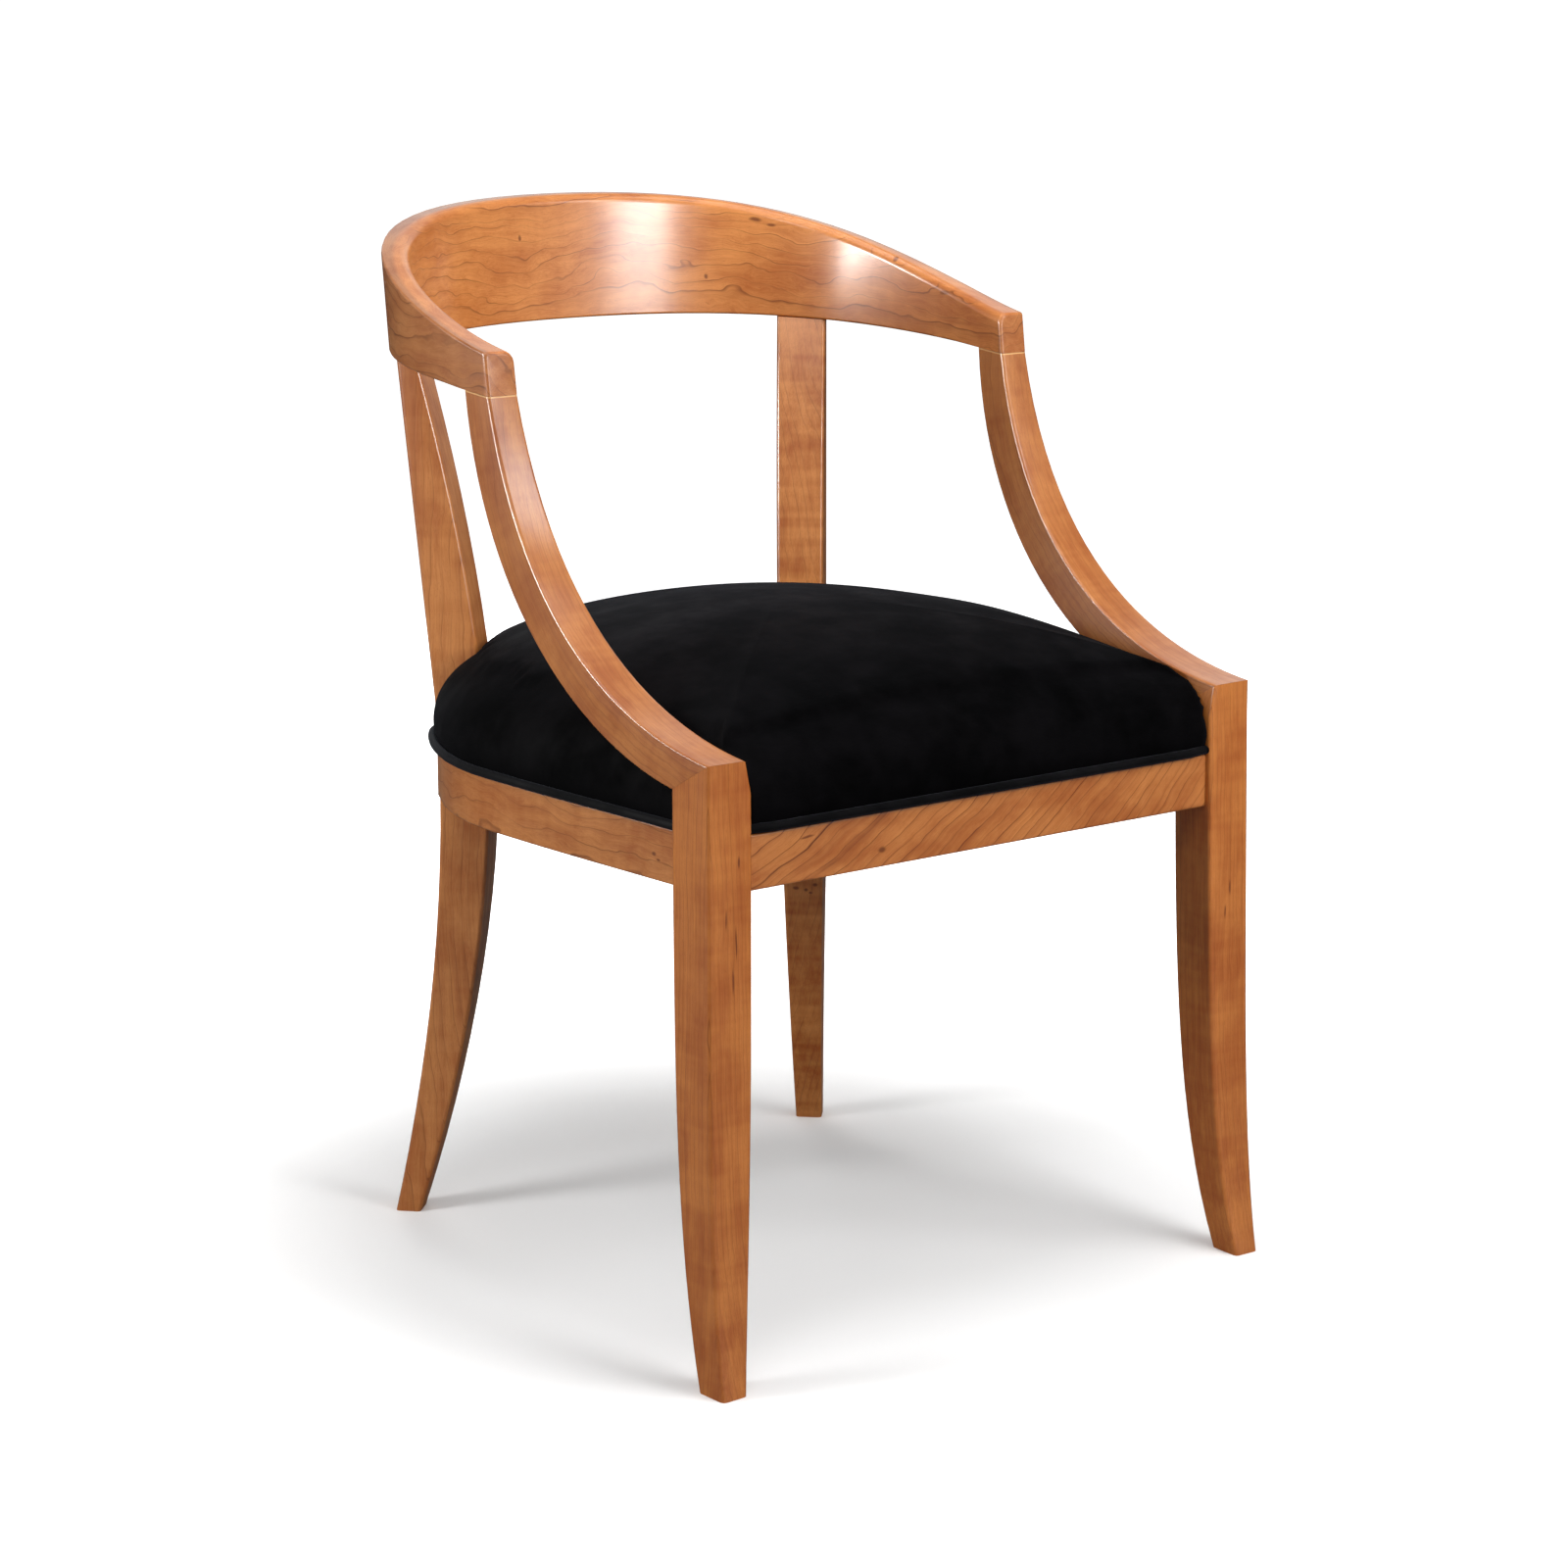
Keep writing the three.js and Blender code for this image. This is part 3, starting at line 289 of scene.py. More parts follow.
def cherry(name, seed, pith, spacing, wave, slope=0.0, bow=0.0, lines=0.6, curl=0.12, tint=(1, 1, 1),
           back_shade=None, top_lines=1.0, end=None, seam=False, spots=()):
    """Cherry whose year rings lie round a pith, given across and behind the piece.

    spacing is the width of a year. The rings rise along the piece by slope and bow, sway by wave and show
    by lines, or by top_lines of that on top faces. curl is how much light bands across the grain show.
    back_shade tints its outside where tint does its inside. end is how far from its middle it is cut across,
    back_shade darkens its outside, a painted shade, where tint tints its inside. end is how far from its
    middle it is cut across, seam gives it a pale line under the crest, and spots are knots and flecks, each a
    place in the grain, a length and a width."""
    wood = Recipe(name)
    grain = wood.stored_vector("grain")
    moved = wood.vector("ADD", grain, [seed * step for step in SEED_STEP])
    middle = (NOISE_MEAN, NOISE_MEAN, NOISE_MEAN)
    broad = wood.noise(wood.scaled(moved, SWAY_NOISE), detail=2, colour=True)
    fine = wood.noise(wood.scaled(moved, RIPPLE_NOISE), detail=1, colour=True)
    sway = wood.scaled(wood.vector("SUBTRACT", broad, middle), (0, wave * SWAY_REACH, wave * SWAY_REACH))
    ripple = wood.scaled(wood.vector("SUBTRACT", fine, middle), (0, wave * RIPPLE_REACH, wave * RIPPLE_REACH))
    bent = wood.vector("ADD", wood.vector("ADD", grain, sway), ripple)
    if slope or bow:
        along = wood.part(bent, 0)
        rise = wood.math("MULTIPLY", along, wood.math("ADD", wood.math("MULTIPLY", along, bow), slope))
        bent = wood.vector("SUBTRACT", bent, wood.add("ShaderNodeCombineXYZ", 0, rise, 0))

    across = wood.math("SUBTRACT", wood.part(bent, 1), pith[0])
    behind = wood.math("SUBTRACT", wood.part(bent, 2), pith[1])
    radius = wood.math("SQRT", wood.math("ADD", wood.math("POWER", across, 2), wood.math("POWER", behind, 2)))
    years = wood.add("ShaderNodeCombineXYZ", wood.math("MULTIPLY", radius, UNEVEN_YEARS), seed, 0)
    uneven = wood.math("MULTIPLY", wood.noise(years, detail=1), UNEVEN_SHARE)
    rings = wood.math("ADD", wood.math("DIVIDE", radius, spacing), uneven)
    line = wood.ramp(wood.math("FRACT", rings), RING_STOPS)
    fading = wood.between(wood.noise(wood.scaled(bent, FADING_NOISE), detail=1), **FADING)
    line = wood.math("MULTIPLY", line, fading)
    if top_lines < 1:
        line = wood.math("MULTIPLY", line, wood.between(wood.upward(), *TOP_FACE, 1.0, top_lines))

    fibre = wood.noise(wood.scaled(bent, FIBRE_NOISE), detail=3, roughness=0.62)
    streak = wood.noise(wood.scaled(bent, STREAK_NOISE), detail=2)
    pores = wood.between(wood.noise(wood.scaled(bent, PORE_NOISE), detail=1), *PORE_RANGE)
    cloud = wood.noise(wood.scaled(moved, CLOUD_NOISE), detail=3, roughness=0.55)
    bands = wood.math("SUBTRACT", wood.noise(wood.scaled(bent, CURL_NOISE), detail=1), NOISE_MEAN)
    tone = wood.weighed((wood.between(streak, *MIDDLE_RANGE), STREAK_SHARE),
                        (wood.between(cloud, *CLOUD_RANGE), CLOUD_SHARE),
                        (wood.between(fibre, *MIDDLE_RANGE), FIBRE_SHARE),
                        (bands, curl * CURL_REACH))
    colour = wood.mix(wood.between(tone, *TONE_RANGE, smooth=False), PALE, MIDDLE)
    dark = wood.math("MAXIMUM", wood.math("MULTIPLY", line, lines), wood.math("MULTIPLY", pores, PORE_DEPTH))
    marked = wood.vector("ADD", grain, ripple)
    for place, length, width in spots:
        away = wood.scaled(wood.vector("SUBTRACT", marked, place), (1 / length, 1 / width, 0))
        near = wood.between(wood.vector("LENGTH", away), SPOT_CORE, 1.0, SPOT_DEPTH, 0.0)
        dark = wood.math("MAXIMUM", dark, near)
    colour = wood.mix(dark, colour, DEEP)

    # Painted shade: the crest's outside, which faces away from the lamps, is darkened by back_shade
    if back_shade:
        tint = wood.mix(wood.between(wood.part(grain, 2), *BACK_SHADE_DEPTHS), tint, back_shade)
    rough = wood.between(streak, *MIDDLE_RANGE, *ROUGHNESS, smooth=False)
    coat = COAT
    if end:
        cut = wood.between(wood.math("ABSOLUTE", wood.part(grain, 0)), end - END_FROM, end - END_TO)
        tint = wood.mix(cut, tint, END_GRAIN_TINT)
        rough = wood.math("ADD", rough, wood.math("MULTIPLY", cut, END_ROUGHNESS))
        coat = wood.between(cut, 0, 1, COAT, END_COAT, smooth=False)
    if seam:
        height = wood.vector("DOT_PRODUCT", wood.object_place(), (0, -CREST_SLOPE, 1))
        # A pale line painted along the arm just under the crest's underside
        pale_line = wood.between(height, SEAM_HEIGHT - SEAM_FROM, SEAM_HEIGHT - SEAM_TO, 0.0, SEAM_SHARE)
        colour = wood.mix(pale_line, colour, SEAM_COLOUR)
    colour = wood.mix(1.0, colour, tint, blend="MULTIPLY")
    wood.bump(fibre, **FIBRE_BUMP)
    return wood.finish(Base_Color=colour, Roughness=rough, Specular_IOR_Level=SPECULAR,
                       Coat_Weight=coat, Coat_Roughness=COAT_ROUGHNESS, Coat_IOR=COAT_IOR)


# Where a point lies in the tree: along the grain, across it and behind the piece's face
RAIL_MIDDLE = 0.38
FRONT_RAIL_FACE = -0.267
FRONT_LEG = (0.24, -0.25)
REAR_LEG_FACE = 0.26
ARM_CENTRE = (-0.272, 0.703)
ARM_RADIUS = 0.25
ARM_REACH = 0.26


def along_line(points, line):
    """Arc length from the line's middle, and distance outside it, for each point in plan."""
    starts = line[:-1]
    steps = line[1:] - starts
    lengths = np.linalg.norm(steps, axis=1)
    before = run_along(line)[:-1]
    apart = points[:, None, :] - starts[None]
    share = np.clip((apart * steps).sum(2) / lengths ** 2, 0, 1)
    feet = starts + share[:, :, None] * steps
    gaps = np.linalg.norm(points[:, None, :] - feet, axis=2)
    best = gaps.argmin(1)
    rows = np.arange(len(points))
    off = points - feet[rows, best]
    side = steps[best, 1] * off[:, 0] - steps[best, 0] * off[:, 1]
    run = before[best] + share[rows, best] * lengths[best] - lengths.sum() / 2
    return run, np.sign(side) * gaps[rows, best]


def crest_grain(p):
    run, outside = along_line(p[:, :2], HOOP_LINE)
    underside = SEAM_HEIGHT + CREST_SLOPE * p[:, 1]
    return np.column_stack([run, p[:, 2] - underside, outside])


def rail_grain(p):
    run, outside = along_line(p[:, :2], FRAME_LINE)
    return np.column_stack([run, p[:, 2] - RAIL_MIDDLE, outside])


def front_rail_grain(p):
    return np.column_stack([p[:, 0], p[:, 2] - RAIL_MIDDLE, p[:, 1] - FRONT_RAIL_FACE])


def front_leg_grain(p):
    side = np.sign(p[:, 0])
    return np.column_stack([p[:, 2], p[:, 0] - side * FRONT_LEG[0], p[:, 1] - FRONT_LEG[1]])


def rear_leg_grain(p):
    side = np.sign(p[:, 0])
    out = np.abs(p[:, 0]) * math.sin(REAR_TURN) + p[:, 1] * math.cos(REAR_TURN)
    forward = np.abs(p[:, 0]) * math.cos(REAR_TURN) - p[:, 1] * math.sin(REAR_TURN)
    return np.column_stack([p[:, 2], side * forward, out - REAR_LEG_FACE])


def arm_grain(p):
    """The arm support is sawn along the arc that it sweeps through."""
    ahead = p[:, 1] - ARM_CENTRE[0]
    above = p[:, 2] - ARM_CENTRE[1]
    turn = np.arctan2(-above, ahead)
    inward = p[:, 0] - np.sign(p[:, 0]) * FRONT_LEG[0]
    return np.column_stack([turn * ARM_REACH, np.hypot(ahead, above) - ARM_RADIUS, inward])


SAME_POINT = 1e-5
WOOD_SHARP_ANGLE = math.radians(55)
FACE_WEIGHT = 100


def vectors(rows, key="co"):
    """One vector of each of a mesh's rows, as an array."""
    values = np.empty(len(rows) * 3)
    rows.foreach_get(key, values)
    return values.reshape(-1, 3)


def shade_smooth(mesh, sharp_angle=None):
    mesh.polygons.foreach_set("use_smooth", [True] * len(mesh.polygons))
    if sharp_angle:
        mesh.set_sharp_from_angle(angle=sharp_angle)


def sanded(name, grain, material):
    """A copy of a CAD wood piece with rounded edges shaded smooth and the grain's place at each point."""
    form = bmesh.new()
    form.from_mesh(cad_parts[name].data)
    bmesh.ops.remove_doubles(form, verts=form.verts, dist=SAME_POINT)
    mesh = bpy.data.meshes.new(name + "_sanded")
    form.to_mesh(mesh)
    form.free()
    mesh.materials.clear()
    mesh.materials.append(material)
    if "custom_normal" in mesh.attributes:
        mesh.attributes.remove(mesh.attributes["custom_normal"])
    shade_smooth(mesh, WOOD_SHARP_ANGLE)
    place = mesh.attributes.new("grain", "FLOAT_VECTOR", "POINT")
    place.data.foreach_set("vector", grain(vectors(mesh.vertices)).ravel())
    piece = add_object(name + "_sanded", mesh)
    even = piece.modifiers.new("even", "WEIGHTED_NORMAL")
    even.keep_sharp = True
    even.weight = FACE_WEIGHT
    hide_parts(name)
    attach(piece, "root")


# Knots, flecks and dark dashes: where they lie in the grain, how long they are and how wide
CREST_SPOTS = [((0.0468, 0.0668, 0), 0.0022, 0.0018), ((-0.1348, 0.0299, 0), 0.0024, 0.002),
               ((-0.317, 0.0557, 0), 0.003, 0.002), ((-0.1808, 0.0782, 0), 0.008, 0.0028),
               ((-0.1953, 0.0748, 0), 0.006, 0.0024)]
FRONT_RAIL_SPOTS = [((-0.0997, -0.0073, 0), 0.005, 0.003), ((-0.168, 0.013, 0), 0.009, 0.0011)]
SIDE_RAIL_SPOTS = [((0.6037, 0.0004, 0), 0.0035, 0.0028), ((0.6087, -0.004, 0), 0.003, 0.0016)]
LEFT_LEG_SPOTS = [((0.3846, 0.008, 0), 0.006, 0.0017), ((0.327, 0.0045, 0), 0.016, 0.0012),
                  ((0.3, 0.0012, 0), 0.013, 0.0011), ((0.345, -0.004, 0), 0.01, 0.001)]
RIGHT_LEG_SPOTS = [((0.2952, 0.0018, 0), 0.009, 0.0013), ((0.2765, -0.003, 0), 0.007, 0.0012)]
REAR_LEG_SPOTS = [((0.2205, 0.0019, 0), 0.0022, 0.0036), ((0.2191, 0.0103, 0), 0.002, 0.0026),
                  ((0.2238, 0.0187, 0), 0.0022, 0.003), ((0.2165, 0.0145, 0), 0.0016, 0.0022)]

# Each board's own colour, beside the common one, and a painted shade that darkens the crest's outside
CREST_TINT = (1.2, 1.16, 1.04)
# A painted shade for the crest's outside, darker than its inside
CREST_BACK_SHADE = (0.83, 0.85, 0.95)
END_GRAIN_TINT = (0.92, 0.9, 0.9)
FRONT_RAIL_TINT = (1, 0.92, 0.82)
ARM_TINT = (0.88, 0.82, 0.7)
LEG_TINT = (1.0, 0.86, 0.62)
POST_TINT = (1.08, 1.05, 0.95)

# Looks that the left piece and the right one share
SIDE_RAIL_WOOD = {"spacing": 0.0105, "wave": 0.012, "lines": 0.62}
ARM_WOOD = {"spacing": 0.0042, "wave": 0.0035, "lines": 0.42, "tint": ARM_TINT, "seam": True}
FRONT_LEG_WOOD = {"spacing": 0.0036, "wave": 0.0025, "lines": 0.5, "tint": LEG_TINT}
REAR_LEG_WOOD = {"spacing": 0.0045, "wave": 0.0035, "lines": 0.46}

# Each wood piece's node, its grain's course, its seed and pith, and how its wood looks
WOOD = [
    ("crest_rail", crest_grain, 1, (-0.045, 0.035),
     {"spacing": 0.008, "wave": 0.011, "lines": 0.72, "curl": 0.05, "tint": CREST_TINT,
      "back_shade": CREST_BACK_SHADE, "top_lines": 0.2, "end": HOOP_HALF, "spots": CREST_SPOTS}),
    ("front_rail", front_rail_grain, 2, (-0.5, -0.05),
     {"spacing": 0.0125, "slope": 0.78, "bow": 0.85, "wave": 0.007, "lines": 1.0, "curl": 0.05,
      "tint": FRONT_RAIL_TINT, "spots": FRONT_RAIL_SPOTS}),
    ("back_rail", rail_grain, 3, (-0.06, 0.03), {"spacing": 0.009, "wave": 0.007}),
    ("side_rail_left", rail_grain, 4, (-0.05, 0.03), {**SIDE_RAIL_WOOD, "spots": SIDE_RAIL_SPOTS}),
    ("arm_support_left", arm_grain, 7, (0.06, -0.08), ARM_WOOD),
    ("front_leg_left", front_leg_grain, 10, (-0.09, -0.09), {**FRONT_LEG_WOOD, "spots": LEFT_LEG_SPOTS}),
    ("rear_leg_left", rear_leg_grain, 13, (0.08, 0.07), {**REAR_LEG_WOOD, "curl": 0.1}),
    ("side_rail_right", rail_grain, 6, (-0.05, 0.03), SIDE_RAIL_WOOD),
    ("arm_support_right", arm_grain, 9, (0.06, -0.08), ARM_WOOD),
    ("front_leg_right", front_leg_grain, 12, (-0.09, -0.09), {**FRONT_LEG_WOOD, "spots": RIGHT_LEG_SPOTS}),
    ("rear_leg_right", rear_leg_grain, 15, (0.08, 0.07),
     {**REAR_LEG_WOOD, "curl": 0.34, "tint": POST_TINT, "spots": REAR_LEG_SPOTS}),
]

for node, course, seed, pith, looks in WOOD:
    sanded(node, course, cherry("cherry_" + node, seed, pith, **looks))


def wood_trees(kinds):
    """The CAD solids of both sides' pieces of some kinds, to cast rays at."""
    trees = []
    for side in ("left", "right"):
        for kind in kinds:
            form = bmesh.new()
            form.from_mesh(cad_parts[kind + "_" + side].data)
            trees.append(BVHTree.FromBMesh(form))
            form.free()
    return trees


def eased(value, low, high):
    share = np.clip((value - low) / (high - low), 0, 1)
    return share * share * (3 - 2 * share)


# Velvet: pile brushed one way and another, in two sizes of patch
BRUSHED_NOISE = (9, 14, 12)
PATCH_NOISE = (34, 26, 30)
PILE_NOISE = (1900, 1900, 1900)
BRUSHED_SHARE = 0.65
PATCH_SHARE = 0.35
NAP_RANGE = (0.36, 0.66)
VELVET_DARK = (0.0003, 0.0003, 0.0003)
VELVET_LIGHT = (0.0021, 0.0018, 0.0022)
VELVET_ROUGHNESS = (0.95, 0.7)
PILE_HEIGHT = 0.4
VELVET_BUMP = {"strength": 0.25, "distance": 0.0008}
SHEEN_ROUGHNESS = 0.45
SHEEN_TINT = (0.62, 0.66, 0.8, 1.0)
COVER_SHINE = 0.02
PIPING_SHINE = 0.07


def velvet(name, shine):
    cloth = Recipe(name)
    place = cloth.object_place()
    brushed = cloth.noise(cloth.scaled(place, BRUSHED_NOISE), detail=4, roughness=0.6)
    patch = cloth.noise(cloth.scaled(place, PATCH_NOISE), detail=3, roughness=0.55)
    pile = cloth.noise(cloth.scaled(place, PILE_NOISE), detail=1)
    nap = cloth.weighed((brushed, BRUSHED_SHARE), (patch, PATCH_SHARE))
    colour = cloth.mix(cloth.between(nap, *NAP_RANGE), VELVET_DARK, VELVET_LIGHT)
    rough = cloth.between(nap, *NAP_RANGE, *VELVET_ROUGHNESS)
    cloth.bump(cloth.math("ADD", cloth.math("MULTIPLY", pile, PILE_HEIGHT), patch), **VELVET_BUMP)
    return cloth.finish(Base_Color=colour, Roughness=rough, Specular_IOR_Level=shine, Sheen_Weight=shine,
                        Sheen_Roughness=SHEEN_ROUGHNESS, Sheen_Tint=SHEEN_TINT)


# The cushion: a crowned pad under one piece of velvet, pulled down over the seat board
CUSHION_MIDDLE = np.array([0, -0.021025])
CUSHION_AROUND = 340
FRONT_POINTS = 60
SIDE_RINGS = 9
TOP_RINGS = 46
RING_CROWDING = 0.55
RIM_HEIGHT = 0.4019
RIM_INSET = 0.0019
WIDEST_HEIGHT = 0.42
SIDE_BULGE = 0.0037

# Its crown is a steep edge and a low dome, which fall towards the front's corners and run round at the back
EDGE_HEIGHT = 0.0312
EDGE_REACH = 7.8
EDGE_ROUNDING = 2.32
CROWN_HEIGHT = 0.0608
CROWN_POWER_FRONT = 0.63
CROWN_POWER_BACK = 0.75
BACK_FROM = 0.07
CORNER_SHARPNESS = 7
LEAST_REACH = 1e-3

# How it is blown up: it starts smaller, its rim is held, and each point may move only so far
SHRINK = 0.0015
SWELL_LIMIT = 0.0032
SINK_LIMIT = 0.0004
SLIDE_LIMIT = 0.003
HELD_BELOW = RIM_HEIGHT + 0.004
FREE_ABOVE = WIDEST_HEIGHT + 0.006
CLOTH_STEPS = 20
CLOTH = {"quality": 6, "mass": 0.25, "tension_stiffness": 12, "compression_stiffness": 8,
         "shear_stiffness": 5, "bending_stiffness": 0.6, "use_pressure": True,
         "uniform_pressure_force": 4, "vertex_group_mass": "rim"}
TINY = 1e-9

# How it stays clear of the wood
WOOD_GAP = 0.0006
RAY_START = 0.55
LEAST_RAY = 1e-6
LEAST_LEAN = 0.35


def cushion_outline(count):
    """The rails' outside, evenly spaced, with the straight front closed."""
    front = np.linspace(FRAME_LINE[-1], FRAME_LINE[0], FRONT_POINTS)[1:-1]
    closed = np.vstack([FRAME_LINE, front, FRAME_LINE[:1]])
    run = run_along(closed)
    places = np.linspace(0, run[-1], count, endpoint=False)
    return np.column_stack([np.interp(places, run, closed[:, axis]) for axis in (0, 1)])


def crown(arrows, share):
    """Height of the cushion above its widest part, at a share of the way from its middle to its rim."""
    half = FRAME_LINE[:, 0].max()
    front = CUSHION_MIDDLE[1] - FRAME_LINE[:, 1].min()
    to_side = np.clip(np.abs(arrows[:, 0]) / half, LEAST_REACH, 1)
    to_front = np.clip(-arrows[:, 1] / front, LEAST_REACH, 1)
    corner = (to_side ** -CORNER_SHARPNESS + to_front ** -CORNER_SHARPNESS) ** (-1 / CORNER_SHARPNESS)
    behind = eased(arrows[:, 1], -BACK_FROM, BACK_FROM)
    corner = np.minimum(corner, 1) * (1 - behind)
    power = CROWN_POWER_FRONT + (CROWN_POWER_BACK - CROWN_POWER_FRONT) * behind
    edge = (1 - share ** EDGE_REACH) ** (1 / EDGE_ROUNDING)
    falling = (1 - share ** 2) * (1 - (corner * share) ** 2)
    return EDGE_HEIGHT * edge + CROWN_HEIGHT * falling ** power


def cushion_rings():
    """Rings of points from the rim up to the widest part and in over the crown, and the point on top."""
    arrows = cushion_outline(CUSHION_AROUND) - CUSHION_MIDDLE
    reach = np.linalg.norm(arrows, axis=1)
    rings = []
    for share in np.linspace(0, 1, SIDE_RINGS):
        out = -RIM_INSET + (RIM_INSET + SIDE_BULGE) * math.sin(share * math.pi / 2)
        plan = CUSHION_MIDDLE + arrows * ((reach + out) / reach)[:, None]
        height = np.full(CUSHION_AROUND, RIM_HEIGHT + (WIDEST_HEIGHT - RIM_HEIGHT) * share)
        rings.append(np.column_stack([plan, height]))
    for step in np.linspace(0, 1, TOP_RINGS)[1:]:
        share = math.cos(step * math.pi / 2) ** RING_CROWDING if step < 1 else 0.0
        plan = CUSHION_MIDDLE + arrows * (share * (reach + SIDE_BULGE) / reach)[:, None]
        rings.append(np.column_stack([plan, WIDEST_HEIGHT + crown(arrows, share)]))
    return np.array(rings[:-1]), rings[-1][0]


def ring_mesh(name, rings, top):
    """A closed skin over rings, capped by one point at the top and a flat underside."""
    count, around = rings.shape[:2]
    points = np.vstack([rings.reshape(-1, 3), top[None], [[*CUSHION_MIDDLE, rings[0, 0, 2]]]])
    faces = []
    for ring in range(count - 1):
        for i in range(around):
            j = (i + 1) % around
            low = ring * around
            high = low + around
            faces.append((low + i, low + j, high + j, high + i))
    last = (count - 1) * around
    for i in range(around):
        j = (i + 1) % around
        faces.append((last + i, last + j, count * around))
        faces.append((j, i, count * around + 1))
    mesh = bpy.data.meshes.new(name)
    mesh.from_pydata(points.tolist(), [], faces)
    shade_smooth(mesh)
    return mesh


def swollen(piece, pinned, normals):
    """Blows the cover up as cloth under pressure, and caps how far each point may move."""
    mesh = piece.data
    start = vectors(mesh.vertices)
    group = piece.vertex_groups.new(name="rim")
    group.add(pinned, 1.0, "REPLACE")
    cloth = piece.modifiers.new("cloth", "CLOTH")
    for key, value in CLOTH.items():
        setattr(cloth.settings, key, value)
    cloth.settings.effector_weights.gravity = 0
    cloth.collision_settings.use_self_collision = False
    cloth.point_cache.frame_start = 1
    cloth.point_cache.frame_end = CLOTH_STEPS
    for step in range(1, CLOTH_STEPS + 1):
        bpy.context.scene.frame_set(step)
    shaped = piece.evaluated_get(bpy.context.evaluated_depsgraph_get())
    moved = vectors(shaped.data.vertices) - start
    piece.modifiers.remove(cloth)
    bpy.context.scene.frame_set(1)
    outward = (moved * normals).sum(1, keepdims=True)
    aside = moved - outward * normals
    slid = np.linalg.norm(aside, axis=1, keepdims=True)
    aside *= np.minimum(1, SLIDE_LIMIT / np.maximum(slid, TINY))
    return start + normals * np.clip(outward, -SINK_LIMIT, SWELL_LIMIT) + aside


def held_by_wood(points, trees):
    """Draws in each point that would reach into or past a leg or an arm support, as the cloth does there."""
    middle = Vector((*CUSHION_MIDDLE, 0))
    for i, point in enumerate(points):
        goal = Vector(point)
        middle.z = goal.z
        start = middle.lerp(goal, RAY_START)
        way = goal - start
        length = way.length
        if length < LEAST_RAY:
            continue
        way /= length
        free = length
        for tree in trees:
            hit = tree.ray_cast(start, way, length + WOOD_GAP)
            if hit[0] is not None:
                lean = max(abs(way.dot(hit[1])), LEAST_LEAN)
                free = min(free, hit[3] - WOOD_GAP / lean)
        if free < length:
            points[i] = start + way * free
    return points


def make_cushion():
    mesh = ring_mesh("seat_cushion", *cushion_rings())
    piece = add_object("seat_cushion", mesh)
    points = vectors(mesh.vertices)
    normals = vectors(mesh.vertex_normals, "vector")
    loose = eased(points[:, 2], HELD_BELOW, FREE_ABOVE)
    points -= normals * SHRINK * loose[:, None]
    mesh.vertices.foreach_set("co", points.ravel())
    mesh.update()
    pinned = [int(i) for i in np.nonzero(loose <= 0)[0]]
    points = swollen(piece, pinned, normals)
    points = held_by_wood(points, wood_trees(["arm_support", "front_leg", "rear_leg"]))
    mesh.vertices.foreach_set("co", points.ravel())
    mesh.update()
    mesh.materials.append(velvet("velvet_cover", COVER_SHINE))
    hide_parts("seat_cover", "seat_foam")
    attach(piece, "root")


make_cushion()


# The piping: a cord in a strip of the same velvet, sewn in under the cushion's edge in four lengths
WELT_RADIUS = 0.0035
WELT_HEIGHT = 0.4053
WELT_OUT = 0.003
WELT_TUCK = 0.004
WELT_TUCK_LENGTH = 0.026
WELT_POINTS = 160
FRONT_WELT_POINTS = 200
WELT_STEP = 0.0024
WELT_SIDES = 14
WELT_SHARP_ANGLE = math.radians(60)

# Where the lengths start and end: turns round the frame on the right, and half the width at the front
SIDE_WELT = (0.1042, 1.5296)
BACK_WELT = (1.6021, 2)
FRONT_WELT = 0.22355

# Puckers in the cover, smoothed along it, and the twist of its strip round the cord
PUCKER_SMOOTHING = (0.2, 0.3, 0.3, 0.2)
PUCKER = 0.012
COVER_RADIUS = 0.985
TWIST_SIZE = 0.35
TWIST_FOLDS = 2
TWIST_PITCH = 0.9

# How its ends stop at the legs: the last rings are pushed back, measured from a little behind them
WELT_END_GAP = 0.0004
WELT_END_RINGS = 5
WELT_END_BACK = 0.01


def frame_point(turn, out):
    """A point outside the rails' face. turn is 0 at the front corner and 2 at the middle of the back."""
    corners, share = (SIDE, turn) if turn < 1 else (BACK, turn - 1)
    a, b, c, d = (np.array(corner, float) for corner in corners)
    rest = 1 - share
    along = (b - a) * rest ** 2 + 2 * (c - b) * share * rest + (d - c) * share ** 2
    along /= np.linalg.norm(along)
    return curve_point(corners, share) + np.array([along[1], -along[0]]) * out + (0, PLAN_SHIFT)


def welt_path(first, last, tuck_first, tuck_last):
    """The piping's middle in plan, drawn in towards the rails where it meets a leg."""
    start = frame_point(first, 0)
    end = frame_point(last, 0)
    points = []
    for turn in np.linspace(first, last, WELT_POINTS):
        pale_line = frame_point(turn, 0)
        near_first = 1 - eased(np.linalg.norm(pale_line - start), 0, WELT_TUCK_LENGTH)
        near_last = 1 - eased(np.linalg.norm(pale_line - end), 0, WELT_TUCK_LENGTH)
        points.append(frame_point(turn, WELT_OUT - near_first * tuck_first - near_last * tuck_last))
    return np.array(points)


def evenly(points, step):
    run = run_along(points)
    places = np.linspace(0, run[-1], int(run[-1] / step) + 1)
    return np.column_stack([np.interp(places, run, points[:, axis]) for axis in (0, 1)])


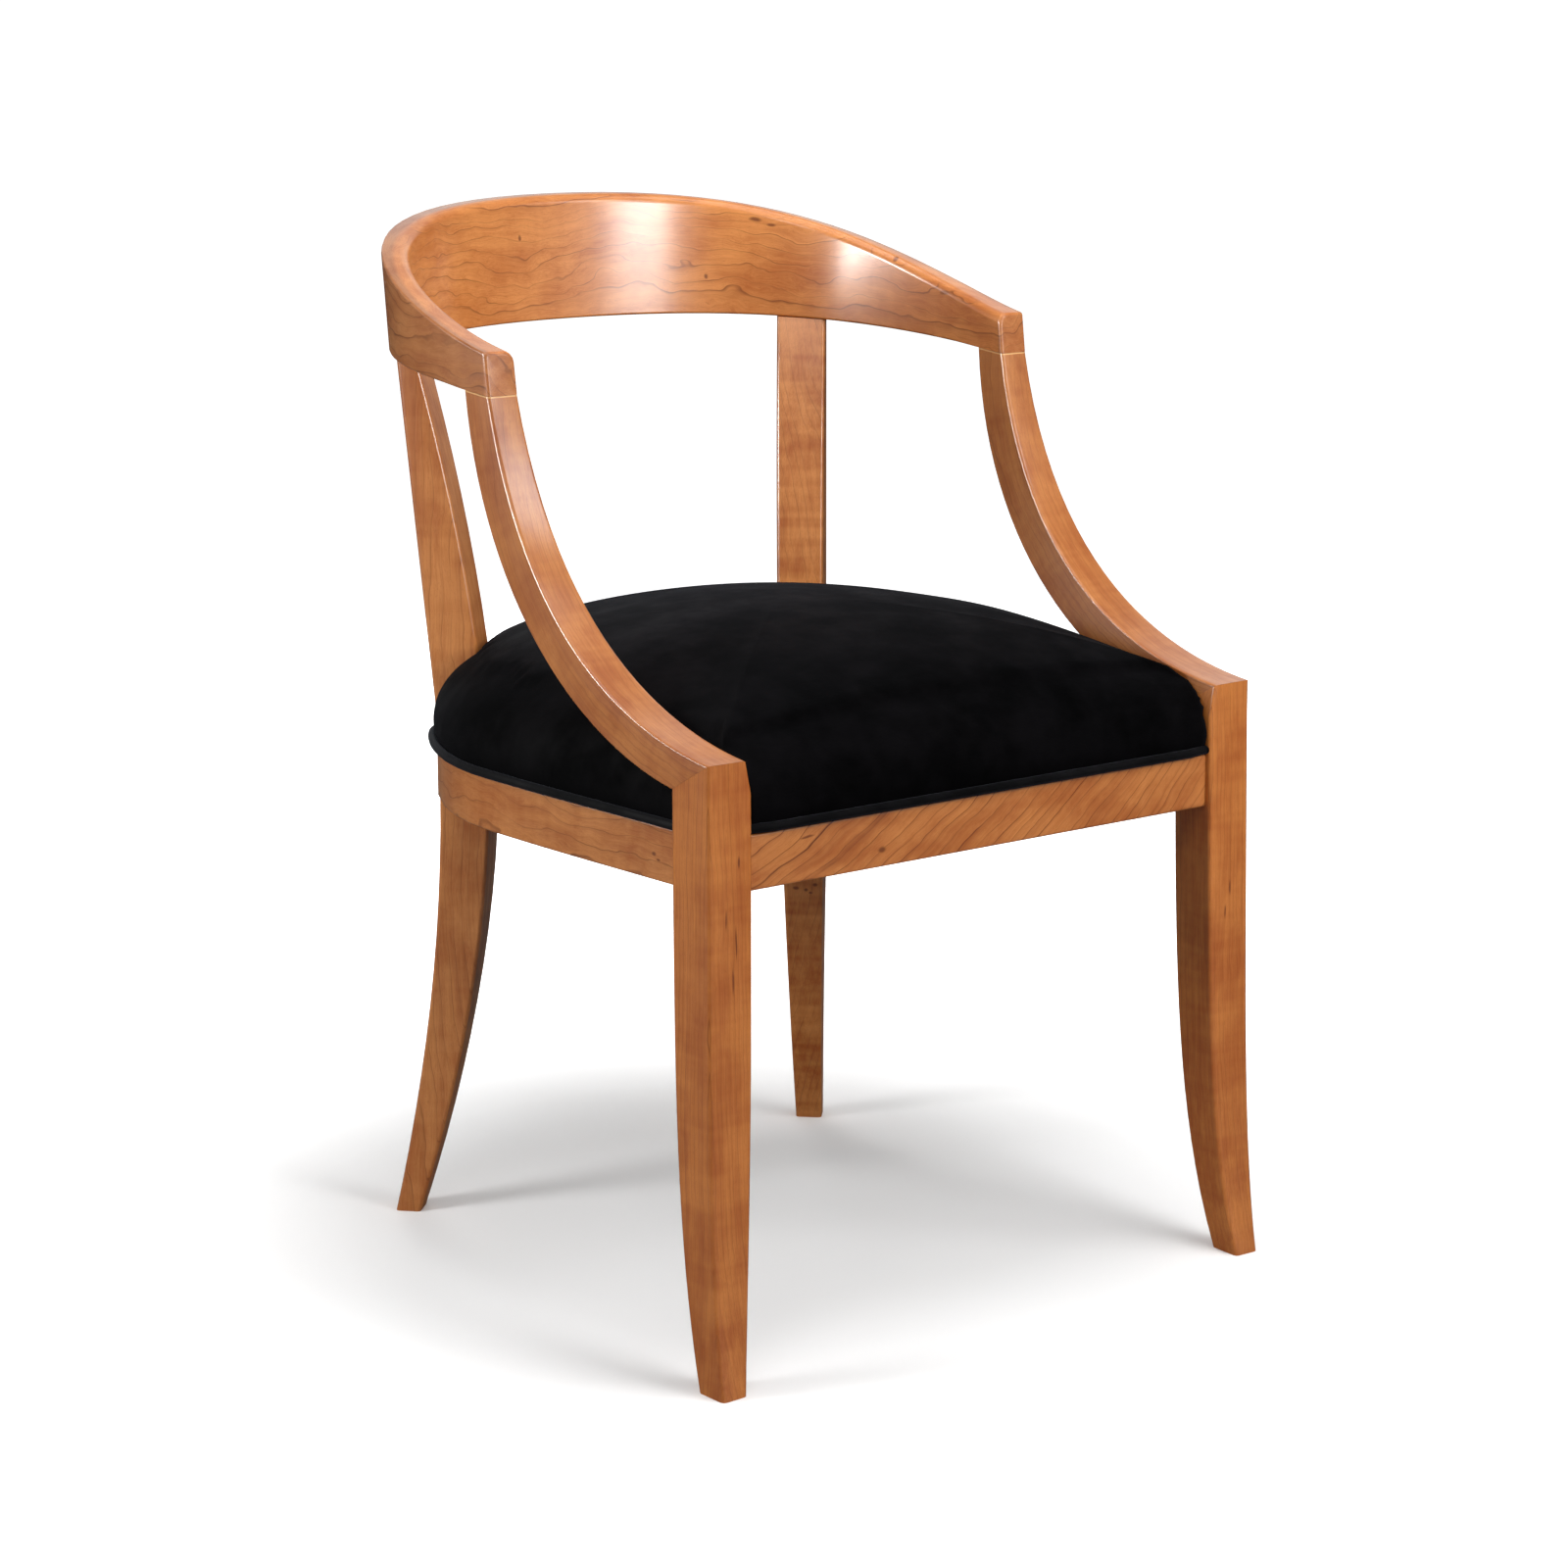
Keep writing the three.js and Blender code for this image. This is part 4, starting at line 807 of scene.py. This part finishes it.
def stopped_at_wood(points, along, trees):
    """Pushes back the rings at both ends of the piping that would reach into a leg."""
    count = len(along)
    ends = ((range(WELT_END_RINGS), WELT_END_RINGS - 1, -along[0]),
            (range(count - WELT_END_RINGS, count), count - WELT_END_RINGS, along[-1]))
    for rings, anchor, way in ends:
        toward = Vector((way[0], way[1], 0))
        for ring in rings:
            share = abs(ring - anchor) / (WELT_END_RINGS - 1)
            for k in range(WELT_SIDES):
                row = ring * WELT_SIDES + k
                base = Vector(points[anchor * WELT_SIDES + k]) - toward * WELT_END_BACK
                length = (Vector(points[row]) - base).dot(toward)
                for tree in trees:
                    hit = tree.ray_cast(base, toward, length + WELT_END_GAP)
                    if hit[0] is not None:
                        stop = (hit[3] - WELT_END_GAP - WELT_END_BACK) * share + WELT_END_BACK
                        points[row] = base + toward * min(length, stop)
    return points


def piping(name, path, trees, seed):
    """A round cord whose cover puckers a little at each stitch, butted against the wood at its ends."""
    draw = np.random.default_rng(seed)
    path = evenly(path, WELT_STEP)
    count = len(path)
    along = np.gradient(path, axis=0)
    along /= np.linalg.norm(along, axis=1, keepdims=True)
    side = np.column_stack([along[:, 1], -along[:, 0]])
    angles = np.linspace(0, 2 * math.pi, WELT_SIDES, endpoint=False)
    pucker = np.convolve(draw.normal(0, 1, count + len(PUCKER_SMOOTHING) - 1), PUCKER_SMOOTHING, "valid")
    points = []
    for i in range(count):
        for angle in angles:
            twist = math.sin(angle * TWIST_FOLDS + i * TWIST_PITCH) * TWIST_SIZE
            radius = WELT_RADIUS * (COVER_RADIUS + PUCKER * (pucker[i] + twist))
            flat = path[i] + side[i] * math.cos(angle) * radius
            points.append((flat[0], flat[1], WELT_HEIGHT + math.sin(angle) * radius))
    points = stopped_at_wood(np.array(points), along, trees)

    faces = []
    for i in range(count - 1):
        for k in range(WELT_SIDES):
            here = i * WELT_SIDES + k
            beside = i * WELT_SIDES + (k + 1) % WELT_SIDES
            faces.append((here, here + WELT_SIDES, beside + WELT_SIDES, beside))
    faces.append(tuple(range(WELT_SIDES)))
    faces.append(tuple(range(count * WELT_SIDES - 1, (count - 1) * WELT_SIDES - 1, -1)))
    mesh = bpy.data.meshes.new(name + "_piping")
    mesh.from_pydata(points.tolist(), [], faces)
    form = bmesh.new()
    form.from_mesh(mesh)
    bmesh.ops.recalc_face_normals(form, faces=form.faces)
    form.to_mesh(mesh)
    form.free()
    shade_smooth(mesh, WELT_SHARP_ANGLE)
    mesh.materials.append(piping_velvet)
    piece = add_object(name + "_piping", mesh)
    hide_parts(name)
    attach(piece, "root")


def make_piping():
    legs = wood_trees(["front_leg", "rear_leg"])
    right = welt_path(*SIDE_WELT, 0, WELT_TUCK)
    across = np.linspace(-FRONT_WELT, FRONT_WELT, FRONT_WELT_POINTS)
    tuck = eased(np.abs(across), FRONT_WELT - WELT_TUCK_LENGTH, FRONT_WELT) * WELT_TUCK
    front = np.column_stack([across, FRAME_LINE[0, 1] - WELT_OUT + tuck])
    piping("welt_right", right, legs, seed=11)
    piping("welt_left", right[::-1] * (-1, 1), legs, seed=12)
    piping("welt_back", both_halves(welt_path(*BACK_WELT, WELT_TUCK, 0)), legs, seed=13)
    piping("welt_front", front, legs, seed=14)


piping_velvet = velvet("velvet_piping", PIPING_SHINE)
make_piping()


# What is hidden inside, or shows only from below. Each kind of bare wood: the axis that its fibres run
# along, its pale and dark, and whether the black cover wraps it but for its underside.
RAW_WOOD = {
    "corner_block": (0, (0.62, 0.42, 0.22), (0.44, 0.26, 0.11), False),
    "seat_board": (0, (0.66, 0.5, 0.3), (0.52, 0.36, 0.19), True),
    "crest_dowel": (2, (0.66, 0.5, 0.3), (0.5, 0.33, 0.17), False),
    "mitre_spline": (2, (0.66, 0.5, 0.3), (0.5, 0.33, 0.17), False),
}
RAW_FIBRE = (12, 420)
RAW_CLOUD = (6, 28)
FIBRE_WEIGHT = 0.6
CLOUD_WEIGHT = 0.4
RAW_ROUGHNESS = (0.6, 0.8)
RAW_SPECULAR = 0.3
RAW_BUMP = {"strength": 0.3, "distance": 0.0004}
WRAP_COLOUR = (0.001, 0.001, 0.001)
UNDERSIDE = (-0.9, -0.5)

FELT_NOISE = (900, 900, 900)
FELT_CLOUD_NOISE = (30, 30, 30)
FELT_WEIGHT = 0.5
LINING_DARK = (0.012, 0.012, 0.013)
LINING_PALE = (0.03, 0.03, 0.032)
LINING_ROUGHNESS = (0.85, 0.95)
LINING_SHEEN = 0.1
LINING_BUMP = {"strength": 0.4, "distance": 0.0005}

HAZE_NOISE = (700, 700, 700)
STEEL_DARK = (0.48, 0.47, 0.43)
STEEL_PALE = (0.62, 0.61, 0.58)
STEEL_ROUGHNESS = (0.28, 0.45)
STEEL_BUMP = {"strength": 0.1, "distance": 0.0002}


def raw_wood(name, axis, pale, dark, wrapped):
    """Unfinished wood whose fibres run along X, Y or Z, given as 0, 1 or 2."""
    wood = Recipe(name)
    place = wood.object_place()
    noises = []
    for (along, across), detail in ((RAW_FIBRE, 3), (RAW_CLOUD, 2)):
        waves = [along if other == axis else across for other in range(3)]
        noises.append(wood.noise(wood.scaled(place, waves), detail=detail))
    fibre, cloud = noises
    tone = wood.weighed((fibre, FIBRE_WEIGHT), (cloud, CLOUD_WEIGHT))
    colour = wood.mix(wood.between(tone, *CORE_RANGE), pale, dark)
    if wrapped:
        colour = wood.mix(wood.between(wood.upward(), *UNDERSIDE), colour, WRAP_COLOUR)
    wood.bump(fibre, **RAW_BUMP)
    return wood.finish(Base_Color=colour, Roughness=wood.between(fibre, *MIDDLE_RANGE, *RAW_ROUGHNESS),
                       Specular_IOR_Level=RAW_SPECULAR)


def lining_cloth():
    """The thin black non-woven cloth stapled under upholstered seats."""
    cloth = Recipe("lining_cloth")
    place = cloth.object_place()
    felt = cloth.noise(cloth.scaled(place, FELT_NOISE), detail=3)
    cloud = cloth.noise(cloth.scaled(place, FELT_CLOUD_NOISE), detail=2)
    tone = cloth.weighed((felt, FELT_WEIGHT), (cloud, 1 - FELT_WEIGHT))
    cloth.bump(felt, **LINING_BUMP)
    return cloth.finish(Base_Color=cloth.mix(cloth.between(tone, *CORE_RANGE), LINING_DARK, LINING_PALE),
                        Roughness=cloth.between(cloud, *MIDDLE_RANGE, *LINING_ROUGHNESS),
                        Sheen_Weight=LINING_SHEEN)


def plated_steel():
    metal = Recipe("plated_steel")
    haze = metal.noise(metal.scaled(metal.object_place(), HAZE_NOISE), detail=2)
    metal.bump(haze, **STEEL_BUMP)
    return metal.finish(Base_Color=metal.mix(haze, STEEL_DARK, STEEL_PALE), Metallic=1.0,
                        Roughness=metal.between(haze, *MIDDLE_RANGE, *STEEL_ROUGHNESS))


def dress_nodes():
    """Gives the CAD nodes that stay in the model their materials."""
    steel = plated_steel()
    for name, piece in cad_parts.items():
        material = None
        if "screw" in name:
            material = steel
        if name == "dust_cover":
            material = lining_cloth()
        for kind, looks in RAW_WOOD.items():
            if name.startswith(kind):
                material = raw_wood("raw_" + name, *looks)
        if material:
            for slot in piece.material_slots:
                slot.material = material


dress_nodes()


# Floor, lamps and world
FLOOR_HALF = 14
FLOOR_NOISE = (3, 3, 3)
FLOOR_WHITE = ((0.91, 0.91, 0.91), (0.9, 0.9, 0.9))
FLOOR_TO_LIGHT = (0.3, 0.3, 0.3)
FLOOR_TO_GLOSS = (0.04, 0.04, 0.04)
FLOOR_ROUGHNESS = 0.9
FLOOR_SPECULAR = 0.2
# The floor's painted glow: emission seen only by the camera, rising from 0.3 m to 0.85 m from the middle
PAINTED_GLOW = {"low": 0.3, "high": 0.85, "to_low": 0.02}
WORLD_LIGHT = 0.17
BACKDROP_LIGHT = 1.1

# Name, azimuth and elevation of each lamp, its distance, size, power and aim, and the rays it lights
LAMPS = [
    ("overhead", 20, 84, 2.4, (1.2, 1.2), 33, (0, 0, 0.4), "matt"),
    ("overhead_gloss", 20, 84, 2.4, (2.0, 2.0), 33, (0, 0, 0.4), "gloss"),
    ("front_box", 10, 14, 1.9, (0.7, 0.5), 19, (0.05, 0.1, 0.75), "matt"),
    ("front_gloss", 15, 10, 6.0, (1.8, 0.9), 160, (0.03, 0.28, 0.77), "gloss"),
    ("side_box", -100, 8, 1.8, (0.5, 0.6), 16, (0.1, 0.1, 0.72), "matt"),
    ("side_gloss", -100, 9, 1.9, (1.1, 0.5), 68, (0.218, 0.152, 0.76), "gloss"),
    ("high_box", 40, 33, 2.0, (0.6, 0.55), 8, (-0.2, -0.05, 0.6), "both"),
    ("near_box", -48, 36, 2.6, (1.1, 0.8), 10, (0, 0, 0.6), "both"),
    ("back_wall", 140, 24, 4.0, (4.5, 2.8), 24, (0, 0, 0.6), "gloss"),
    ("back_fill", 160, 8, 2.8, (1.4, 1.0), 26, (0, 0, 0.5), "matt"),
]


def floor_material():
    """White, with a painted glow that brightens it away from the chair, as a studio's lit backdrop is.

    It is darker to the rays that light and mirror it, so that little light reaches the chair from below."""
    recipe = Recipe("studio_floor")
    place = recipe.object_place()
    grain = recipe.noise(recipe.scaled(place, FLOOR_NOISE), detail=2)
    seen = recipe.add("ShaderNodeLightPath", out=CAMERA_RAY)
    mirrored = recipe.add("ShaderNodeLightPath", out=GLOSSY_RAY)
    white = recipe.mix(recipe.between(grain, *MIDDLE_RANGE), *FLOOR_WHITE)
    tone = recipe.mix(seen, recipe.mix(mirrored, FLOOR_TO_LIGHT, FLOOR_TO_GLOSS), white)
    # Painted glow: the floor emits light to the camera away from the chair, so its shadow fades into white
    painted_glow = recipe.math("MULTIPLY", recipe.between(recipe.vector("LENGTH", place), **PAINTED_GLOW), seen)
    recipe.material.cycles.emission_sampling = "NONE"
    return recipe.finish(Base_Color=tone, Roughness=FLOOR_ROUGHNESS, Specular_IOR_Level=FLOOR_SPECULAR,
                         Emission_Color=WHITE, Emission_Strength=painted_glow)


def add_floor():
    mesh = bpy.data.meshes.new("floor")
    corners = [(x * FLOOR_HALF, y * FLOOR_HALF, 0) for x, y in ((-1, -1), (1, -1), (1, 1), (-1, 1))]
    mesh.from_pydata(corners, [], [(0, 1, 2, 3)])
    mesh.materials.append(floor_material())
    add_object("floor", mesh)


def add_softbox(name, azimuth, elevation, distance, size, power, aim, seen_by):
    data = bpy.data.lights.new(name, "AREA")
    data.shape = "RECTANGLE"
    data.size, data.size_y = size
    data.energy = power
    box = add_object(name, data)
    facing_aim(box, azimuth, elevation, distance, aim)
    box.visible_diffuse = seen_by != "gloss"
    box.visible_glossy = seen_by != "matt"


def add_world():
    """White behind the chair, and a softer white for what the lamps leave."""
    world = bpy.data.worlds.new("studio")
    bpy.context.scene.world = world
    world.use_nodes = True
    tree = world.node_tree
    lamp = tree.nodes["Background"]
    lamp.inputs["Color"].default_value = WHITE
    lamp.inputs["Strength"].default_value = WORLD_LIGHT
    backdrop = tree.nodes.new("ShaderNodeBackground")
    backdrop.inputs["Color"].default_value = WHITE
    backdrop.inputs["Strength"].default_value = BACKDROP_LIGHT
    seen = tree.nodes.new("ShaderNodeLightPath")
    either = tree.nodes.new("ShaderNodeMixShader")
    tree.links.new(seen.outputs["Is Camera Ray"], either.inputs["Fac"])
    tree.links.new(lamp.outputs[0], either.inputs[1])
    tree.links.new(backdrop.outputs[0], either.inputs[2])
    tree.links.new(either.outputs[0], tree.nodes["World Output"].inputs["Surface"])


add_floor()
for lamp in LAMPS:
    add_softbox(*lamp)
add_world()
bpy.context.scene.view_settings.view_transform = "Standard"
